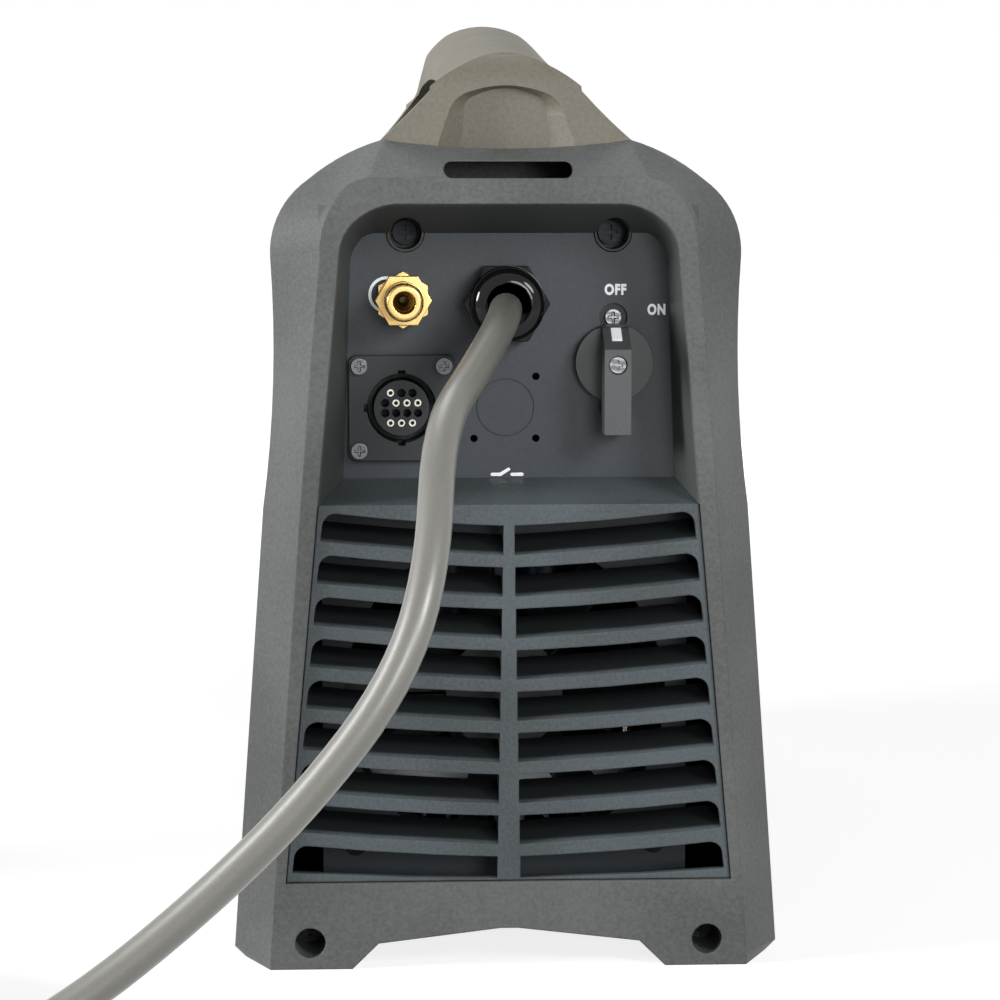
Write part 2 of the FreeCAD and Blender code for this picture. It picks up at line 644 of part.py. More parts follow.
def bezel_shape():
    """The moulded bezel: flanks, walls, panel recess, feet and screw wells."""
    rear = -S.half_length
    side = side_outline()
    inner_side = widened(side, -S.wall)
    inner_ridge = widened(mirrored(ridge_half()), -S.wall)
    lifted = Part.makeBox(400, 400, 400, Vector(-200, -400, S.wall))
    hollow = lofted((inner_ridge, rear + S.wall), (inner_side, -S.side_plane + S.wall / 2),
                    (inner_side, -S.bezel_edge + 1)).common(lifted)
    tub = lofted((widened(recess_front(), S.tub_wall), rear + S.wall / 2),
                 (widened(recess_back(), S.tub_wall), -S.panel_plane))
    frame = extruded(widened(side, -S.wall / 2), -S.bezel_edge - S.cover_frame,
                     S.cover_frame).common(lifted)
    cover_way = extruded(cover_outline(S.fit_gap), -S.bezel_edge - S.cover_frame - 1, S.cover_frame + 2)
    shell = bezel_solid().cut(hollow).fuse([tub, frame.cut(cover_way)])
    mouth = lofted((recess_front(), rear), (recess_back(), -S.panel_plane))
    shell = shell.cut([mouth, extruded(recess_front(), rear - 1, 1),
                       extruded(recess_back(), -S.panel_plane, 1)])
    # The mouth of the grille, open behind
    shell = shell.cut(extruded(grille_outline(S.grille_top), rear - 1, S.wall + 14))
    wells, bores = [], []
    for side_sign in (-1, 1):
        x = side_sign * S.skirt_hole_x
        seat = rear + S.well_depth
        tube, bore = tube_along_y(x, S.skirt_hole_z, S.skirt_hole + 2 * S.well_wall, S.skirt_hole, rear + 1,
                                  seat)
        wells += [tube, cylinder_y(x, seat - 0.1, S.skirt_hole_z, S.skirt_hole + 2 * S.well_wall,
                                   S.wall - S.fit_gap)]
        bores += [bore.common(cylinder_y(x, rear - 1, S.skirt_hole_z, S.skirt_hole, S.well_depth + 1)),
                  cylinder_y(x, seat - 1, S.skirt_hole_z, S.screw_major + 0.4, S.wall + 2)]
        x = side_sign * S.upper_well_x + S.recess_shift
        seat = -S.panel_plane + S.upper_well_depth
        wells += [cylinder_y(x, -S.panel_plane - 0.8, S.panel_top, S.upper_well_outer,
                             seat + S.panel_plane + 2.8),
                  Part.makeBox(S.upper_well_outer, seat + S.panel_plane + 2.8,
                               S.recess_top - S.panel_top + 8,
                               Vector(x - S.upper_well_outer / 2, -S.panel_plane - 0.0, S.panel_top + 4))]
        bores += [cylinder_y(x, rear, S.panel_top, S.upper_well, seat - rear),
                  cylinder_y(x, seat - 1, S.panel_top, S.screw_major + 0.4, 5)]
    shell = shell.fuse(wells).cut(bores)
    arch = [(S.arch_foot_width / 2, -1), (S.arch_foot_width / 2, 0),
            (S.arch_shoulder_width / 2, S.arch_shoulder),
            (3, S.arch_top)]
    shell = shell.cut(extruded(mirrored(arch), rear - 1, S.bezel_depth + 2))
    return shell.removeSplitter()


# Housing sub-parts

def make_bezels():
    """Rear and front bezel, the same moulding turned round; the rear one has the slot under the handle."""
    shape = bezel_shape()
    half_slot = (S.slot_width - S.slot_height) / 2
    rear = -S.half_length - 1
    slot = Part.makeBox(2 * half_slot, S.flank_depth + 1, S.slot_height,
                        Vector(-half_slot, rear, S.slot_level - S.slot_height / 2))
    ends = [cylinder_y(x, rear, S.slot_level, S.slot_height, S.flank_depth + 1)
            for x in (-half_slot, half_slot)]
    bores = [Part.makeCylinder(S.handle_screw_shank / 2 + S.fit_gap, 30,
                               Vector(x, -S.handle_screw_y, S.bezel_height - 20))
             for x in (-S.handle_screw_x, S.handle_screw_x)]
    shape = shape.cut([slot] + ends + bores)
    return [feature("rear_bezel", shape),
            feature("front_bezel", shape, Placement(Vector(), Rotation(Vector(0, 0, 1), 180)))]


def louvre_opening(row, side):
    """One opening of the grille, as an outline; side is 1 on the right and -1 on the left."""
    top_in = S.first_row_level - row * S.row_pitch
    top_out = top_in + S.row_rise
    lowest = S.skirt_height + 1
    foot_in = max(top_in - S.row_height_inner, lowest)
    foot_out = max(top_out - S.row_height_outer, lowest)
    inner = (S.rib_top + (S.rib_foot - S.rib_top) * row / 8) / 2
    outer_top = crest_x(top_out) - S.fit_gap - S.end_bar
    outer_foot = crest_x(foot_out) - S.fit_gap - S.end_bar
    radius = S.row_corner
    cut_in = radius * (1 - math.sqrt(0.5))
    outline = [(inner, foot_in), ((inner + outer_foot) / 2, (foot_in + foot_out) / 2 - S.row_sag, True),
               (outer_foot, foot_out), (outer_top + 0.2, top_out - radius),
               (outer_top - cut_in, top_out - cut_in, True), (outer_top - radius, top_out),
               ((inner + outer_top) / 2, (top_in + top_out) / 2 - S.row_sag, True), (inner, top_in)]
    return outline if side > 0 else [(-point[0],) + tuple(point[1:]) for point in reversed(outline)]


def louvre_blade(row, side, start):
    """The blade that climbs inwards from the lower edge of an opening."""
    outline = louvre_opening(row, 1)
    foot_in, foot_mid, foot_out = outline[:3]
    thick = S.blade_thickness
    edge = [foot_in, foot_mid, foot_out, (foot_out[0], foot_out[1] - thick),
            (foot_mid[0], foot_mid[1] - thick, True), (foot_in[0], foot_in[1] - thick)]
    if side < 0:
        edge = [(-point[0],) + tuple(point[1:]) for point in reversed(edge)]
    return Part.Face(outline_wire(edge, start)).extrude(Vector(0, S.blade_depth, S.blade_rise))


def grille_shape(rows, bay):
    """The grille with its sill, louvres and, where bay is true, the bay of the connectors."""
    face = -S.half_length + S.grille_inset
    back = face + S.grille_skin
    plate = extruded(widened(grille_outline(S.grille_top), -S.fit_gap), face, S.grille_skin)
    lip_mouth = grille_outline(S.grille_top - 6)
    lip = lofted((widened(lip_mouth, S.grille_lip_root - S.fit_gap), back),
                 (widened(lip_mouth, S.grille_lip - S.fit_gap), back + S.lip_thickness))
    shape = plate.fuse(lip)
    openings = [extruded(louvre_opening(row, side), face - 1, S.grille_skin + S.lip_thickness + 2)
                for row in range(rows) for side in (-1, 1)]
    shape = shape.cut(openings)
    blades = [louvre_blade(row, side, back - 0.4) for row in range(rows) for side in (-1, 1) if row < 8]
    lowest = S.first_row_level - (rows - 1) * S.row_pitch - S.row_height_inner
    rib = Part.makeBox(3, S.blade_depth + 0.6, S.grille_top - 4 - lowest, Vector(-1.5, back - 0.4, lowest))
    sill_front = S.grille_top - S.sill_thickness
    sill_back = S.panel_foot - S.sill_thickness
    front = [(crest_x(S.grille_top) - S.fit_gap, sill_front),
             (crest_x(S.grille_top) - S.fit_gap, S.grille_top)]
    rear = [(S.panel_foot_width / 2 - S.fit_gap, sill_back),
            (S.panel_foot_width / 2 - S.fit_gap, S.panel_foot)]
    sill = lofted((mirrored(front), face),
                  (sideways(mirrored(rear), S.recess_shift), -S.panel_plane - S.fit_gap))
    shape = shape.fuse(blades + [rib, sill])
    if bay:
        half, wall = S.bay_width / 2, S.bay_wall
        tray = Part.makeBox(2 * (half + wall), S.bay_depth + wall, S.bay_high - S.bay_low + 2 * wall,
                            Vector(-half - wall, face, S.bay_low - wall))
        hollow = Part.makeBox(2 * half, S.bay_depth + 1, S.bay_high - S.bay_low,
                              Vector(-half, face - 1, S.bay_low))
        floor = face + S.bay_depth - 1
        holes = [cylinder_y(-S.torch_x, floor, S.socket_z, S.torch_bore + 4.4, wall + 2),
                 cylinder_y(-S.work_x, floor, S.socket_z, S.work_bore + 6.4, wall + 2)]
        shape = shape.fuse(tray).cut([hollow] + holes)
    return shape.removeSplitter()


def make_grilles():
    """Rear grille with nine rows, front grille with four rows over the connector bay."""
    return [feature("rear_grille", grille_shape(9, False)),
            feature("front_grille", grille_shape(4, True),
                    Placement(Vector(), Rotation(Vector(0, 0, 1), 180)))]


def handle_section(drop, far):
    """The handle seen from the rear, its top lower by a drop: flared foot, neck and domed grip.

    far goes from 0 at the rear to 1 at the front, where the foot is narrower."""
    top = S.unit_height - drop
    foot_half = (S.handle_foot_width + (S.far_foot_width - S.handle_foot_width) * far) / 2
    neck_half = (S.handle_neck_width + (S.far_neck_width - S.handle_neck_width) * far) / 2
    foot = (foot_half, S.bezel_height)
    flare = (foot_half - neck_half) / (S.handle_neck_level - S.bezel_height)
    edge_level = top - S.grip_edge_drop
    neck_level = min(S.handle_neck_level, edge_level - 0.5)
    neck = (foot[0] - flare * (neck_level - foot[1]), neck_level)
    edge = (neck[0] - 0.1, edge_level)
    crown = (S.grip_crown_width / 2, top - S.grip_crown_drop)
    return mirrored([(foot[0], S.bezel_height - S.crown_dip - 6), foot,
                     bulged(foot, neck, S.handle_flare_bulge), neck,
                     edge, bulged(edge, crown, S.grip_corner_bulge), crown, (0, top, True)])


def handle_bar():
    """The whole length of the handle before its legs are cut, with its highest point in the middle."""
    leg = (S.handle_toe + S.handle_heel) / 2
    stations = [(S.half_length, S.grip_end_drop), (leg, S.grip_leg_drop),
                (S.handle_heel - 10, S.grip_heel_drop),
                (S.handle_toe / 2, S.grip_third_drop), (S.handle_toe / 4, S.grip_quarter_drop), (0, 0)]
    wires = [outline_wire(handle_section(drop, 0), -y) for y, drop in stations]
    wires += [outline_wire(handle_section(drop, min(y / S.handle_heel, 1)), y)
              for y, drop in reversed(stations[:-1])]
    return Part.makeLoft(wires, True, False)


def inset_outline(shrink):
    """The arch of the hollow in the handle foot, smaller by a distance at its sides and half of it on top."""
    half = S.inset_width / 2 - shrink
    top = S.inset_level - shrink / 4
    side = (half - 1.7, S.inset_level - 11.2)
    shoulder = (half * 0.65, top - 2.5)
    return mirrored([(half + 0.5, S.bezel_height - S.crown_dip - 7), side, bulged(side, shoulder, 1.55),
                     shoulder,
                     (0, top, True)])


def side_face(points):
    """A face in the YZ plane at the left of the handle, from points of Y and Z."""
    spots = [Vector(-60, point[0], point[1]) for point in points]
    is_mid = [len(point) > 2 for point in points]
    edges, index, count = [], 0, len(points)
    while index < count:
        step = 2 if is_mid[(index + 1) % count] else 1
        if step == 2:
            edges.append(Part.Arc(spots[index], spots[(index + 1) % count],
                                  spots[(index + 2) % count]).toShape())
        else:
            edges.append(Part.LineSegment(spots[index], spots[(index + 1) % count]).toShape())
        index += step
    return Part.Face(Part.Wire(edges))


def make_handle():
    """Handle shell on both bezels, and the strip that closes its underside."""
    toe, heel = S.handle_toe, S.handle_heel
    seat = S.bezel_height - S.crown_dip - 6
    shoulder = S.unit_height - S.grip_end_drop
    half = [(toe, seat), (toe, S.bezel_height - 1), (toe - 4.5, S.handle_neck_level - 2.3),
            (toe - 8.2, shoulder - 3, True), (toe - 16, shoulder + 1.5), (toe - 40, S.unit_height + 6)]
    outer = half + [(-point[0],) + tuple(point[1:]) for point in reversed(half)]
    under = S.grip_underside
    gap_half = [(heel, seat - 1), (heel - 6, under - 14), (heel - 10, under - 7, True),
                (heel - 20, under - 3.5)]
    gap_mid = [(heel * 0.45, under - 0.8, True)]
    gap = gap_half + gap_mid + [(0, under)] + [(-point[0],) + tuple(point[1:])
                                               for point in reversed(gap_half + gap_mid)]
    side_view = side_face(outer).extrude(Vector(120, 0, 0))
    finger_gap = side_face(gap).extrude(Vector(120, 0, 0))
    body = handle_bar().common(side_view).cut(finger_gap)
    seats = bezel_solid()
    turned = seats.copy()
    turned.rotate(Vector(), Vector(0, 0, 1), 180)
    rim, floor = inset_outline(-S.inset_spread / 2), inset_outline(S.inset_spread)
    insets = [lofted((rim, -toe - S.inset_depth / 2), (floor, -toe + S.inset_depth)),
              lofted((floor, toe - S.inset_depth), (rim, toe + S.inset_depth / 2))]
    body = body.cut([seats, turned] + insets)
    width, depth = S.underside_width, S.underside_depth
    half_length = S.underside_length / 2
    strip_box = Part.makeBox(width, 2 * half_length, 40,
                             Vector(-width / 2, -half_length, under - 40 + depth))
    strip = strip_box.common(body)
    gap_box = Part.makeBox(width + 2 * S.fit_gap, 2 * (half_length + S.fit_gap), 40,
                           Vector(-width / 2 - S.fit_gap, -half_length - S.fit_gap,
                                  under - 40 + depth + S.fit_gap))
    bores = [Part.makeCylinder(S.handle_screw_shank / 2 + 0.1, 14, Vector(x, y, S.bezel_height - 8))
             for x in (-S.handle_screw_x, S.handle_screw_x) for y in (-S.handle_screw_y, S.handle_screw_y)]
    hollow = [Part.makeBox(S.hollow_width, 2 * S.hollow_half, S.hollow_top - under,
                           Vector(-S.hollow_width / 2, -S.hollow_half, under))]
    leg = S.handle_toe - S.inset_depth - S.handle_heel - 2 * S.handle_wall
    hollow += [Part.makeBox(width, leg, S.inset_level - seat, Vector(-width / 2, y, seat - 1))
               for y in (heel + S.handle_wall, -heel - S.handle_wall - leg)]
    shell = body.cut([gap_box] + bores + hollow).removeSplitter()
    return [feature("handle_shell", shell), feature("handle_underside", strip)]


def cover_outline(grow):
    """The inverted U of the cover, without its lower edge."""
    foot = (S.cover_foot_width / 2, S.cover_foot)
    shoulder = (S.cover_shoulder_width / 2, S.cover_shoulder_level)
    crown = (S.cover_crown_width / 2, S.cover_top)
    half = [foot, shoulder, bulged(shoulder, crown, S.cover_bend_bulge), crown]
    return widened(mirrored(half), grow)


def cover_side_x(level):
    """Outer face of the cover's side at a height."""
    foot, shoulder = S.cover_foot_width / 2, S.cover_shoulder_width / 2
    return foot + (shoulder - foot) * (level - S.cover_foot) / (S.cover_shoulder_level - S.cover_foot)


def make_cover():
    """The bent steel cover, tucked into both bezels, with its screw holes."""
    start = -S.bezel_edge - S.cover_tuck
    length = -2 * start
    sheet_metal = extruded(cover_outline(0), start, length)
    inside = extruded(cover_outline(-S.cover_sheet), start - 1, length + 2)
    open_foot = Part.makeBox(400, length + 2, S.cover_sheet + 1, Vector(-200, start - 1, S.cover_foot - 1))
    holes = [Part.makeCylinder(S.screw_major / 2 - 0.3, 240, Vector(-120, y, S.cover_screw_z),
                               Vector(1, 0, 0))
             for y in (-S.cover_screw_y, 0, S.cover_screw_y)]
    return feature("cover", sheet_metal.cut([inside, open_foot] + holes))


def make_base_pan():
    """The folded base pan: a U of sheet, with a tab down at each foot for the bezel screws."""
    body = new_body("base_pan", ("0", "pan_end", "0"))
    profile = plane_sketch(body, "XZ_Plane", "pan_profile")
    half, floor, deck, top = "pan_width / 2", "pan_floor", "pan_deck", "pan_floor + pan_flange"
    draw_polygon(profile, ((f"-{half}", floor), (half, floor), (half, top), (f"{half} - pan_sheet", top),
                           (f"{half} - pan_sheet", deck), (f"-{half} + pan_sheet", deck),
                           (f"-{half} + pan_sheet", top),
                           (f"-{half}", top)))
    pad(body, profile, "2 * pan_end", "pan_fold")
    tabs = []
    for end in (-1, 1):
        for side in (-1, 1):
            name = f"pan_tab_{'rear' if end < 0 else 'front'}_{'left' if side < 0 else 'right'}"
            y = f"{end} * (pan_end - pan_sheet / 2) - pan_sheet / 2"
            low = (f"{side} * skirt_hole_x - 8", y, "wall + 0.5")
            plate = block(name, low, ("16", "pan_sheet", "pan_floor - wall - 0.5"))
            bore = rod(name + "_bore", (f"{side} * skirt_hole_x", f"{y} - 1", "skirt_hole_z"),
                       "screw_major / 2 + 0.1", "pan_sheet + 2")
            tabs.append(cut(name + "_bored", plate, bore))
    holes = [rod(f"pan_side_bore_{place}", ("-120", formula, "cover_screw_z"), "screw_major / 2 - 0.3",
                 "240", ALONG_X)
             for place, formula in (("rear", "-cover_screw_y"), ("middle", "0"),
                                    ("front", "cover_screw_y"))]
    body.Label = "pan_folded_sheet"
    whole = cut("base_pan_bored", fuse("pan_with_tabs", body, *tabs), *holes)
    whole.Label = "base_pan"
    return whole


def screw(name, x, y, z, head, head_height, shank, length, inward=1, cross=True):
    """A cross-head screw along Y whose head seats at y and whose shank runs inwards."""
    sunk = f"({y}) - ({head_height})" if inward > 0 else y
    start = y if inward > 0 else f"({y}) - ({length})"
    top = rod(name + "_head", (x, sunk, z), f"({head}) / 2", head_height)
    if cross:
        depth = f"({head_height}) * 0.6"
        face = sunk if inward > 0 else f"({y}) + ({head_height}) * 0.4"
        slots = [block(f"{name}_slot_{turn}", (f"({x}) - ({wide}) / 2", face, f"({z}) - ({high}) / 2"),
                       (wide, depth, high))
                 for turn, wide, high in (("flat", f"({head}) * 0.6", f"({head}) * 0.14"),
                                          ("upright", f"({head}) * 0.14", f"({head}) * 0.6"))]
        top = cut(name + "_crossed", top, *slots)
    return fuse(name, top, rod(name + "_shank", (x, start, z), f"({shank}) / 2", length))


def make_screws():
    """Fasteners of the housing, one group for each kind."""
    bezel_screws, handle_screws, cover_screws = [], [], []
    for end, end_name in ((1, "rear"), (-1, "front")):
        for side, side_name in ((-1, "left"), (1, "right")):
            tag = f"{end_name}_{side_name}"
            bezel_screws.append(screw(f"foot_screw_{tag}", f"{side} * skirt_hole_x",
                                      f"{-end} * (half_length - well_depth)", "skirt_hole_z",
                                      "screw_head", "screw_head_height", "screw_major", "12", end))
            bezel_screws.append(screw(f"well_screw_{tag}", f"{side} * upper_well_x + {end} * recess_shift",
                                      f"{-end} * (panel_plane - upper_well_depth)", "panel_top",
                                      "screw_head", "screw_head_height", "screw_major", "7", end))
            x, y = f"{side} * handle_screw_x", f"{-end} * handle_screw_y"
            under = "bezel_height - crown_dip - wall + 1"
            handle_screws.append(fuse(f"handle_screw_{tag}",
                                      rod(f"handle_screw_head_{tag}", (x, y, f"{under} - 4"),
                                          "handle_screw_head / 2",
                                          "4", UPRIGHT),
                                      rod(f"handle_screw_shank_{tag}", (x, y, f"{under} - 0.1"),
                                          "handle_screw_shank / 2",
                                          "11", UPRIGHT)))
    for side, side_name in ((-1, "left"), (1, "right")):
        for place, y in (("rear", "-cover_screw_y"), ("middle", "0"), ("front", "cover_screw_y")):
            tag = f"{side_name}_{place}"
            face = cover_side_x(S.cover_screw_z)
            head = rod(f"cover_screw_head_{tag}", (f"{side} * {face + 1.5} - 1.2", y, "cover_screw_z"),
                       "screw_head / 2", "2.4", ALONG_X)
            shank = rod(f"cover_screw_shank_{tag}", (f"{side} * {face - 3} - 4", y, "cover_screw_z"),
                        "screw_major / 2 - 0.4", "8", ALONG_X)
            cover_screws.append(fuse(f"cover_screw_{tag}", head, shank))
    return [group("bezel_screws", *bezel_screws), group("handle_screws", *handle_screws),
            group("cover_screws", *cover_screws)]


def make_panel(name, end, holes):
    """A panel sheet behind one recess; holes are circles as (x, z, diameter) formulas, seen along +Y."""
    back = "-plate_back" if end < 0 else "plate_face"
    body = new_body(name, ("0", back, "0"))
    outline = plane_sketch(body, "XZ_Plane", name + "_outline")
    draw_rectangle(outline, ("-plate_width / 2", "pan_deck + fit_gap"), ("plate_width / 2", "plate_top"))
    pad(body, outline, "plate_thickness", name + "_sheet")
    cuts = plane_sketch(body, "XZ_Plane", name + "_openings")
    for x, z, diameter in holes:
        draw_circle(cuts, x, z, diameter)
    pocket_through(body, cuts, name + "_cut")
    return body


def make_rear_panel():
    """The rear panel with the openings of its fittings, of the fan and of the upper wells."""
    holes = [("0", "gland_z", "gland_thread + 0.4"), ("air_x", "air_z", "air_thread + 0.4"),
             ("cnc_x", "cnc_z", "cnc_barrel + 0.4"), ("switch_x", "switch_z", "switch_hole"),
             ("switch_x", "switch_z + switch_screw_rise", "switch_well"),
             ("switch_x", "switch_z - switch_screw_rise", "switch_well"), ("0", "fan_z", "fan_bore")]
    holes += [(f"{side} * upper_well_x + recess_shift", "panel_top", "upper_well_outer + 0.6")
              for side in (-1, 1)]
    holes += [(f"{side} * fan_pitch / 2", f"fan_z + {up} * fan_pitch / 2", "small_screw + 1.4")
              for side in (-1, 1) for up in (-1, 1)]
    holes += [(f"cnc_x + {side} * cnc_screw_pitch / 2", f"cnc_z + {up} * cnc_screw_pitch / 2",
               "small_screw + 0.2")
              for side in (-1, 1) for up in (-1, 1)]
    holes += [(f"{side} * knockout_pitch / 2", f"knockout_z + {up} * knockout_pitch / 2", "knockout_hole")
              for side in (-1, 1) for up in (-1, 1)]
    body = make_panel("rear_plate", -1, holes)
    ring_start = ("0", "-plate_face - 1", "knockout_z")
    scored = cut("knockout_ring", rod("knockout_outer", ring_start, "knockout_diameter / 2", "1 + scribe"),
                 rod("knockout_inner", ring_start, "knockout_diameter / 2 - scribe", "1 + scribe"))
    return cut("rear_panel", body, scored)


def make_front_panel():
    """The front panel with the openings of the display, the knob, the buttons and the lenses."""
    holes = [("front_knob_x", "front_knob_z", "front_knob_shaft + 4"),
             ("mode_x", "button_z", "button_diameter + 2 * running_gap"),
             ("test_x", "button_z", "button_diameter + 2 * running_gap")]
    holes += [(f"mode_x + {index} * lamp_pitch", "lamp_z", "lamp_diameter + 0.1") for index in range(4)]
    holes += [(f"{side} * upper_well_x - recess_shift", "panel_top", "upper_well_outer + 0.6")
              for side in (-1, 1)]
    holes += [("torch_x", "socket_z", "torch_barrel + 2"), ("work_x", "socket_z", "work_flange + 2"),
              ("0", "fan_z + 36", "36")]
    body = make_panel("front_plate", 1, holes)
    window = block("display_cutout", ("display_x - display_width / 2 - 0.15", "plate_back - 1",
                                      "display_z - display_height / 2 - 0.15"),
                   ("display_width + 0.3", "plate_thickness + 2", "display_height + 0.3"))
    return cut("front_panel", body, window)


def make_gland():
    """Cable gland: body through the panel, dome nut, toothed clamp ring and lock nut."""
    hex_face = "-plate_face - gland_hex_length"
    body = fuse("gland_body_solid", hexagon("gland_fixed_hex", ("0", hex_face, "gland_z"), "gland_hex",
                                            "gland_hex_length"),
                rod("gland_stem", ("0", f"{hex_face} - 7", "gland_z"), "gland_thread / 2",
                    "gland_tail + gland_hex_length + 7"))
    seat = rod("gland_lead_seat", ("0", f"{hex_face} - 8", "gland_z"), "cable_diameter / 2 + cable_gap",
               f"lead_start - ({hex_face}) + 8")
    wire_way = rod("gland_wire_way", ("0", f"{hex_face} - 8", "gland_z"), "wire_way / 2",
                   "gland_tail + gland_hex_length + 20")
    gland_body = cut("gland_body", body, seat, wire_way)
    nut_face = f"{hex_face} - fit_gap - gland_nut_hex"
    nut_hex = hexagon("gland_nut_hexagon", ("0", nut_face, "gland_z"), "gland_hex", "gland_nut_hex")
    dome_radius = S.gland_hex / 2 - S.fit_gap
    dome_solid = Part.makeCylinder(dome_radius, S.gland_dome,
                                   Vector(0, number(nut_face) - S.gland_dome, S.gland_z), Vector(0, 1, 0))
    rim = [edge for edge in dome_solid.Edges if edge.BoundBox.YMax < number(nut_face) - S.gland_dome + 0.01]
    dome = feature("gland_nut_dome", dome_solid.makeFillet(S.gland_dome_round, rim))
    bore = rod("gland_nut_bore", ("0", f"{nut_face} + 1", "gland_z"), "gland_thread / 2 + 0.15",
               "gland_nut_hex + 1")
    mouth = rod("gland_nut_mouth", ("0", f"{nut_face} - gland_dome - 1", "gland_z"), "gland_mouth / 2",
                "gland_dome + 4")
    nut = cut("gland_dome_nut", fuse("gland_nut_solid", nut_hex, dome), bore, mouth)
    ring_start = ("0", f"{nut_face} - gland_dome + 1.2", "gland_z")
    ring = cut("gland_clamp_ring_solid", rod("clamp_ring_outer", ring_start, "gland_mouth / 2 - 0.15",
                                             "gland_dome - 0.4"),
               rod("clamp_ring_bore", ("0", f"{nut_face} - gland_dome", "gland_z"),
                   "cable_diameter / 2 + cable_gap", "gland_dome + 2"))
    teeth = []
    for index in range(16):
        tooth = Part.makeBox(1.0, 6, 1.6, Vector(-0.5, 0, S.cable_diameter / 2 + 0.9))
        tooth.Placement = Placement(Vector(0, number(ring_start[1]) - 1, S.gland_z),
                                    Rotation(Vector(0, 1, 0), index * 22.5))
        teeth.append(tooth)
    clamp_ring = cut("gland_clamp_ring", ring, feature("clamp_ring_slots", Part.makeCompound(teeth)))
    lock = cut("gland_locknut", hexagon("gland_lock_hex", ("0", "-plate_back + 0.1", "gland_z"),
                                        "gland_hex - 1", "gland_lock_length"),
               rod("gland_lock_bore", ("0", "-plate_back - 1", "gland_z"), "gland_thread / 2 + 0.1",
                   "gland_lock_length + 2"))
    return [gland_body, nut, clamp_ring, lock]


def make_air_inlet():
    """Air inlet: threaded brass nose with its hexagon, and its bulkhead nut."""
    nut_face = "-plate_face - air_nut_length"
    hex_face = f"{nut_face} - fit_gap - air_hex_length"
    nose_face = f"{hex_face} - air_nose"
    spot = lambda y: ("air_x", y, "air_z")
    stem_length = "air_nose - air_rim + air_hex_length + air_nut_length + plate_thickness + air_tail"
    stem = rod("air_stem", spot(f"{nose_face} + air_rim"), "air_thread / 2", stem_length)
    rim = taper("air_nose_rim", spot(nose_face), "air_thread / 2 - air_rim", "air_thread / 2", "air_rim")
    seat = taper("air_bore_seat", spot(f"{nose_face} + air_bore_depth"), "air_bore / 2", "air_drill / 2",
                 "air_seat")
    hexagonal = hexagon("air_fixed_hex", spot(hex_face), "air_hex", "air_hex_length")
    fitting = cut("air_inlet_fitting", fuse("air_fitting_solid", stem, rim, hexagonal),
                  rod("air_nose_bore", spot(f"{nose_face} - 1"), "air_bore / 2", "air_bore_depth + 1"),
                  seat,
                  rod("air_way", spot(nose_face), "air_drill / 2", "air_nose + air_tail + 20"))
    nut = cut("air_inlet_nut", hexagon("air_nut_hex", spot(nut_face), "air_hex", "air_nut_length", 30),
              rod("air_nut_bore", spot(f"{nut_face} - 1"), "air_thread / 2 + 0.1", "air_nut_length + 2"))
    return [fitting, nut]


def cnc_contact_places():
    """The fourteen contacts, as rows of three, four, four and three."""
    for row, count in enumerate((3, 4, 4, 3)):
        for column in range(count):
            yield row, column, (column - (count - 1) / 2), (1.5 - row)


CNC_PINS = {(0, 0), (1, 1), (1, 2), (1, 3), (3, 0), (3, 1), (3, 2)}


